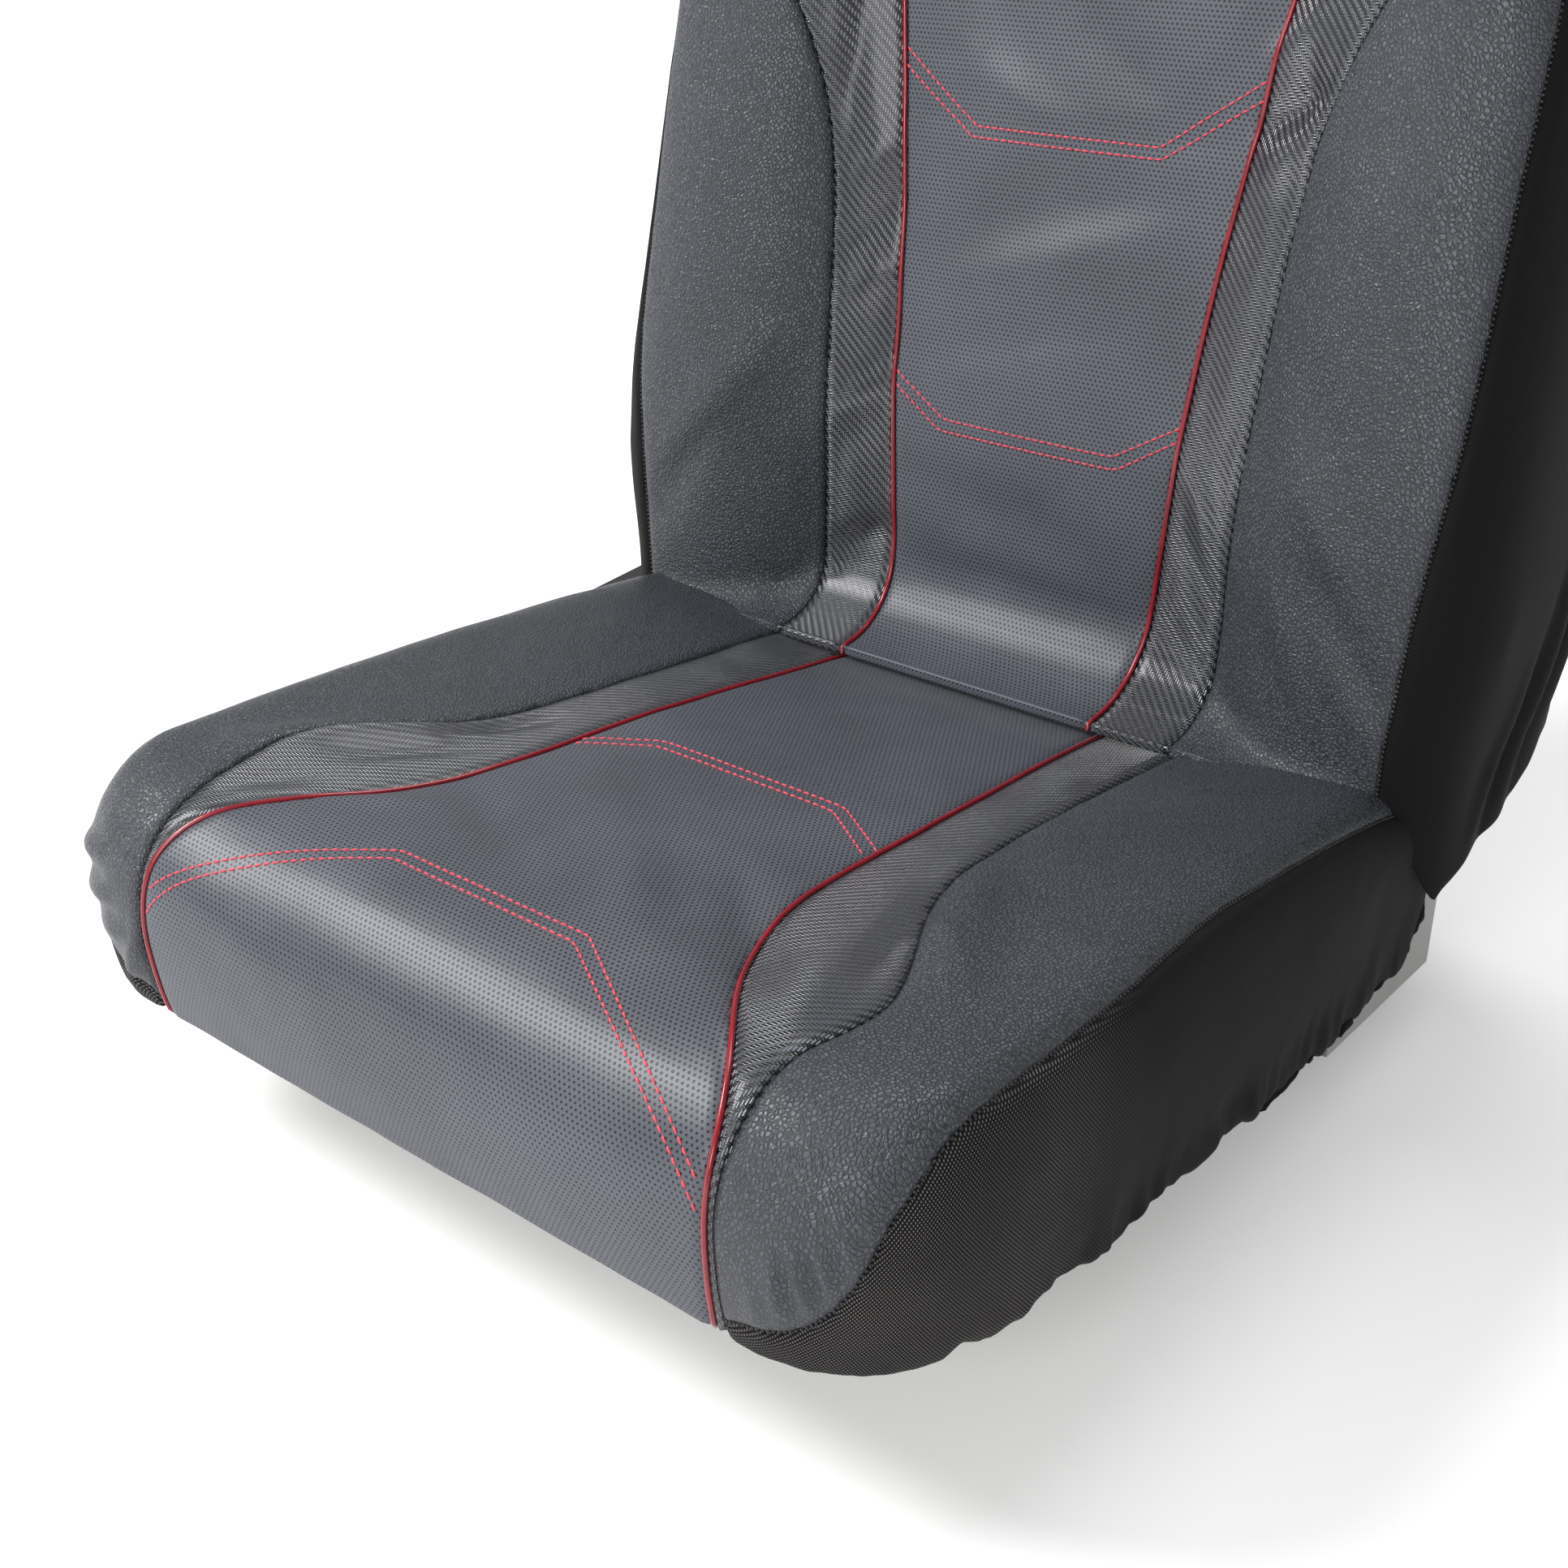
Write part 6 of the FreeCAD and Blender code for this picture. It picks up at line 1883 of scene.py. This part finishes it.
    def toe_block(self) -> bmesh.types.BMesh:
        """The fillet that runs forwards into the bight, with its rolled lip.

        Returns:
            The work mesh.
        """
        rings = []
        for x, shrink in ((-246, 9), (-243, 3), (-238, 0), (238, 0), (243, 3), (246, 9)):
            tip = -self.toe + shrink
            top = self.toe_height - 0.5 * shrink
            outline = [(tip, self.bight_gap - 12), (tip, top - 4)]
            outline += bowed((tip, top - 4), (tip + 1.2, top - 1.2), (tip + 4, top), 4)[1:]
            knee = (0.68 * self.recess, top + 0.27 * (self.fillet_height - top))
            outline += bowed((tip + 4, top), knee, (self.recess, self.fillet_height - shrink), 14)
            shoulder = self.fillet_height - shrink
            outline += [(self.recess, shoulder), (self.recess + 40, shoulder)]
            outline += [(self.recess + 40, self.bight_gap - 12)]
            rings.append((np.array([(x, y, z) for y, z in outline]) + BIGHT) * MM)
        return lofted(rings)

    def form(self) -> list[bmesh.types.BMesh]:
        """The back's closed forms.

        Returns:
            The work meshes of back and fillet.
        """
        levels = [self.foot, -60, -30]
        levels += list(np.linspace(0, 0.84 * self.height, 24))
        levels += list(self.height * (0.84 + 0.16 * np.sin(np.linspace(0, 0.5 * math.pi, 16))[1:]))
        return [lofted([(self.ring(float(z)) + BIGHT) * MM for z in levels]), self.toe_block()]

    def profile(self) -> np.ndarray:
        """The middle's (y, z) line from the lip upwards, along which the weave runs.

        Returns:
            The points in order.
        """
        tip = (-self.toe + 4, self.toe_height)
        knee = (0.68 * self.recess, self.toe_height + 0.27 * (self.fillet_height - self.toe_height))
        rise = bowed(tip, knee, (self.recess, self.fillet_height), 16)
        above = [(self.front_at(z), z) for z in np.linspace(self.fillet_height, self.height, 40)]
        lip = [(-self.toe, -60), (-self.toe, self.toe_height - 4)]
        return np.array(lip + [tuple(place) for place in rise] + above)

    def piping_seam(self) -> Seam:
        """The seam between centre and insert, in the front view from the top down.

        Returns:
            The seam.
        """
        foot, top = self.piping_foot, self.height
        return Seam(View.FRONT, (
            (foot + 66, top + 60), (foot + 52, 0.82 * top), (foot + 30, 0.57 * top), (foot + 14, 0.36 * top),
            (foot + 6, 0.15 * top), (foot, 0), (foot - 1, -180),
        ))

    def insert_seam(self) -> Seam:
        """The seam between insert and bolster, in the front view from the top down.

        Returns:
            The seam.
        """
        foot, top = self.insert_foot, self.height
        return Seam(View.FRONT, (
            (foot + 200, top + 60), (foot + 150, 0.80 * top), (foot + 92, 0.72 * top), (foot + 48, 0.63 * top),
            (foot + 20, 0.53 * top), (foot + 6, 0.37 * top), (foot + 1, 0.20 * top), (foot, 0), (foot, -180),
        ))

    def edge_seam(self) -> Seam:
        """The seam between front covers and side panel, in the front view from the top down.

        Returns:
            The seam.
        """
        top, edge = self.height, self.edge_seam_inset
        spots = ((0.97, 1.0), (0.925, 0.7), (0.85, 0.5), (0.735, 0.4), (0.5, 0.5))
        upper = tuple((self.half_at(share * top) - part * edge, share * top) for share, part in spots)
        lower = (
            (self.half_at(180) - 0.75 * edge, 180), (self.half_at(90) - 1.1 * edge, 90),
            (self.half_at(0) - edge, 0), (self.half_at(0) - edge, -180),
        )
        return Seam(View.FRONT, ((self.half_at(0.97 * top) - 2 * edge, top + 60),) + upper + lower)

    def behind_top(self, places: np.ndarray) -> np.ndarray:
        """Above zero behind the seam that runs over the top and down behind the bolsters.

        Args:
            places: Places in millimetres from the bight, one row each.

        Returns:
            The measure of each place.
        """
        foot_y = self.hub_clear
        top_y = 0.5 * (self.front_at(self.height) + self.rear_at(self.height))
        share = np.clip(places[:, 2] / self.height, 0, 1.2)
        return places[:, 1] - (foot_y + (top_y - foot_y) * share)

    def cut_away(self, places: np.ndarray) -> np.ndarray:
        """Above zero below the covers' lower ends and round the recliner.

        Args:
            places: Places in millimetres from the bight, one row each.

        Returns:
            The measure of each place.
        """
        low = self.bight_gap
        outline = ((-200.0, low),) + self.flap + ((400.0, self.flap[-1][1]), (400.0, 900.0), (-200.0, 900.0))
        border = np.array(outline)
        flat = places[:, [1, 2]]
        away = np.abs(from_line(flat, np.vstack([border, border[:1]]))[0])
        region = np.where(inside_outline(flat, border), -away, away)
        low_z = np.where(places[:, 1] < self.hub_reach, low, -10.0)
        between = np.minimum(self.flap_inner - np.abs(places[:, 0]), low_z - places[:, 2])
        return np.maximum(region, between)

    def shaped(self) -> bpy.types.Mesh:
        """The form after its padding has swelled between the seams.

        Returns:
            The skin.
        """
        mesh = self.padding(self.form())
        places = places_of(mesh)
        front = self.behind_top(places) < 0
        edge = self.edge_seam().measure(places)
        seams = np.abs(edge)
        for seam in (self.piping_seam(), self.insert_seam()):
            seams = np.minimum(seams, np.where(front & (edge < 0), np.abs(seam.measure(places)), FAR_OFF))
        held = np.clip(1.2 - seams / HOLD_WIDTH, 0, 1)
        held = np.maximum(held, np.clip((32 - places[:, 2]) / 20, 0, 1))
        mesh = self.grown(mesh, held)
        places, normals = places_of(mesh), normals_of(mesh)
        lift = 0.7 * ripple(places, (90, 70, 80), 2.3) + 0.3 * ripple(places, (26, 30, 30), 6.1)
        lift = self.folded(places, lift * np.clip((places[:, 2] - 20) / 30, 0, 1))
        move_to(mesh, places + normals * lift[:, None])
        return mesh

    def build(self, wardrobe: Wardrobe) -> None:
        """Makes the covers, piping and stitch rows and sets them on the back.

        Args:
            wardrobe: The finishes.
        """
        skin = Skin(self.shaped())
        skin.cut(self.cut_away, Panel.CENTRE, Panel.GONE)
        skin.drop(Panel.GONE)
        skin.cut(self.edge_seam().measure, Panel.CENTRE, Panel.SIDE)
        skin.cut(self.behind_top, Panel.CENTRE, Panel.REAR)
        skin.cut(self.piping_seam().measure, Panel.CENTRE, Panel.INSERT)
        skin.cut(self.insert_seam().measure, Panel.INSERT, Panel.BOLSTER)
        skin.sew(2.2, 6.5)
        profile = self.profile()
        centre = laid_out(skin.part("back_centre_cover", Panel.CENTRE), profile)
        self.settle(centre, wardrobe, "perforated_cover", "back_centre_panel")
        self.settle(skin.part("back_rear_knit", Panel.REAR), wardrobe, "stretch_fabric", "back_rear_panel")
        self.cover_sides(skin, wardrobe, profile, "side_knit", "side_panel")
        self.sew_rows(wardrobe, self.chevrons(Ground(skin)))
        self.sew_edges(skin, wardrobe)

    def chevrons(self, ground: Ground) -> list[list[tuple[Vector, Vector]]]:
        """The stitch rows of the two chevrons on the centre cover.

        Args:
            ground: The covers on which they lie.

        Returns:
            The rows.
        """
        rows = []
        for end, corner in (
            ((115, 78, 345), (59, 72, 307)), ((115, 77, 336), (61, 71, 301)),
            ((97, 51, 165), (58, 47, 142)), ((96, 49, 157), (61, 46, 135)),
        ):
            corners = (end, corner, (-corner[0], *corner[1:]), (-end[0], *end[1:]))
            rows.append(ground.row(corners, (0, 1, -0.1)))
        return rows


# ---------------------------------------------------------------- headrest and foams


@dataclass
class Headrest:
    """The headrest's cover, on its CAD form."""

    voxel: float = 5.0
    body: str = "headrest"

    def build(self, wardrobe: Wardrobe) -> None:
        """Makes the cover and its centre and sets them on the headrest.

        Args:
            wardrobe: The finishes.
        """
        names = ("headrest_cover", "headrest_centre_panel", "headrest_foam")
        mesh = voxelled("headrest_form", [node_copy(name) for name in names], self.voxel * MM)
        places = places_of(mesh)
        low, high = (np.array(corner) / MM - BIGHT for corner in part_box("headrest_centre_panel"))
        edge = high[0]
        held = np.clip(1.2 - np.abs(np.abs(places[:, 0]) - edge) / 7, 0, 1)
        mesh = refined("headrest_form", swelled("headrest_form", mesh, held, 4.0))
        skin = Skin(mesh)
        front_y = 0.5 * (low[1] + high[1])

        def beyond_centre(places: np.ndarray) -> np.ndarray:
            """Above zero outside the centre cover."""
            return np.maximum(np.abs(places[:, 0]) - edge, places[:, 1] - front_y)

        skin.cut(beyond_centre, Panel.CENTRE, Panel.BOLSTER)
        skin.sew(1.8, 6.0)
        profile = np.array([(places[:, 1].min(), z) for z in np.linspace(low[2] - 20, high[2] + 20, 8)])
        centre = laid_out(skin.part("headrest_centre_cover", Panel.CENTRE), profile)
        cover = skin.part("headrest_leather", Panel.BOLSTER)
        for item, slot, nodes in (
            (centre, "perforated_cover", ("headrest_centre_panel",)),
            (cover, "bolster_leather", ("headrest_cover", "headrest_foam")),
        ):
            thickened(item)
            wardrobe.dress(item, slot)
            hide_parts(*nodes)
            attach(item, self.body)
            log.info("%s: %d faces", item.name, len(item.data.polygons))


@dataclass
class Foams:
    """The foam bodies under the covers, drawn in a little so that the covers clear them."""

    voxel: float = 7.0
    inset: float = 7.0
    back_foot: float = 26.0
    back_foot_from: float = 62.0

    def build(self, wardrobe: Wardrobe) -> None:
        """Makes both foams.

        Args:
            wardrobe: The finishes.
        """
        for node, body in (("cushion_foam", "seat"), ("back_foam", "backrest")):
            mesh = voxelled(node + "_block", [node_copy(node)], self.voxel * MM)
            places = places_of(mesh)
            lump = 0.5 * ripple(places, (30, 30, 30), 4.4)
            places += normals_of(mesh) * (lump - self.inset)[:, None]
            if body == "backrest":
                behind = places[:, 1] > self.back_foot_from
                places[behind, 2] = np.maximum(places[behind, 2], self.back_foot)
            move_to(mesh, places)
            mesh.shade_smooth()
            item = new_object(node + "_block", mesh)
            wardrobe.dress(item, "foam")
            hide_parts(node)
            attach(item, body)
            log.info("%s: %d faces", item.name, len(mesh.polygons))


# ---------------------------------------------------------------- studio


@dataclass(frozen=True)
class Studio:
    """The pale floor, the soft lamps and the camera at the photograph's angle."""

    camera_place: Place = (0.6198, -0.8593, 0.6511)
    turn: float = 39.67
    tilt: float = 26.51
    lens: float = 46.58

    def build(self) -> None:
        """Sets the stage."""
        scene = bpy.context.scene
        scene.view_settings.view_transform = "Standard"
        eye = bpy.data.cameras.new("camera")
        eye.lens = self.lens
        eye.sensor_width = 36.0
        eye.sensor_fit = "HORIZONTAL"
        eye.clip_start = 0.01
        holder = bpy.data.objects.new("camera", eye)
        holder.location = self.camera_place
        holder.rotation_euler = (math.radians(90 - self.tilt), 0.0, math.radians(self.turn))
        scene.collection.objects.link(holder)
        scene.camera = holder
        self.floor()
        self.sky()
        self.lamp("key", (-1.9, -1.5, 2.3), (0.0, -0.1, 0.4), 1.1, 92.0)
        self.lamp("front", (0.6, -2.7, 1.3), (0.0, 0.1, 0.5), 1.0, 34.0)
        self.lamp("top", (-0.4, 0.9, 3.0), (0.0, 0.0, 0.3), 1.4, 36.0)

    def floor(self) -> None:
        """Lays the floor."""
        work = bmesh.new()
        bmesh.ops.create_grid(work, x_segments=1, y_segments=1, size=40.0)
        item = finished("floor", work, smooth=False)
        desk = Shading("floor")
        desk.nodes.remove(desk.shader)
        matt = desk.add("ShaderNodeBsdfDiffuse")
        across, depth, _ = desk.split(desk.solid)
        away = desk.math("SQRT", desk.math("ADD", desk.square(across), desk.square(depth)))
        far = desk.stepped(away, 0.55, 1.25)
        desk.join(desk.ramp(far, (0.0, (0.82, 0.82, 0.82)), (1.0, (0.70, 0.70, 0.70))), matt.inputs["Color"])
        glow = desk.add("ShaderNodeEmission")
        seen = desk.add("ShaderNodeLightPath")
        shown = desk.math("MAXIMUM", seen.outputs["Is Camera Ray"], seen.outputs["Is Glossy Ray"])
        desk.join(desk.math("MULTIPLY", shown, desk.scaled(far, 0.6, 0.30)), glow.inputs["Strength"])
        both = desk.add("ShaderNodeAddShader")
        desk.join(matt.outputs[0], both.inputs[0])
        desk.join(glow.outputs[0], both.inputs[1])
        desk.join(both.outputs[0], desk.nodes["Material Output"].inputs["Surface"])
        item.data.materials.append(desk.material)

    def sky(self) -> None:
        """Sets the even light of the room."""
        world = bpy.data.worlds.new("room")
        bpy.context.scene.world = world
        world.use_nodes = True
        nodes, links = world.node_tree.nodes, world.node_tree.links
        ground = nodes["Background"]
        ground.inputs["Color"].default_value = (1.0, 1.0, 1.0, 1.0)
        seen = nodes.new("ShaderNodeLightPath")
        scale = nodes.new("ShaderNodeMapRange")
        links.new(seen.outputs["Is Camera Ray"], scale.inputs["Value"])
        scale.inputs["To Min"].default_value = 0.36
        scale.inputs["To Max"].default_value = 1.0
        links.new(scale.outputs[0], ground.inputs["Strength"])

    def lamp(self, name: str, place: Place, target: Place, size: float, power: float) -> None:
        """Hangs one soft lamp that looks at a target.

        Args:
            name: The lamp's name.
            place: Its place in metres.
            target: What it looks at.
            size: Its width in metres.
            power: Its power in watts.
        """
        light = bpy.data.lights.new(name, "AREA")
        light.shape = "DISK"
        light.size = size
        light.energy = power
        item = bpy.data.objects.new(name, light)
        item.location = place
        item.rotation_euler = (Vector(target) - Vector(place)).to_track_quat("-Z", "Y").to_euler()
        bpy.context.scene.collection.objects.link(item)


def main() -> None:
    """Builds the seat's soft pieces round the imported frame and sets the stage."""
    logging.basicConfig(level=logging.INFO, format="%(name)s %(message)s")
    Studio().build()
    wardrobe = Wardrobe()
    wardrobe.dress_nodes()
    Cushion().build(wardrobe)
    Backrest().build(wardrobe)
    Headrest().build(wardrobe)
    Foams().build(wardrobe)


if __name__ == "__main__":
    main()
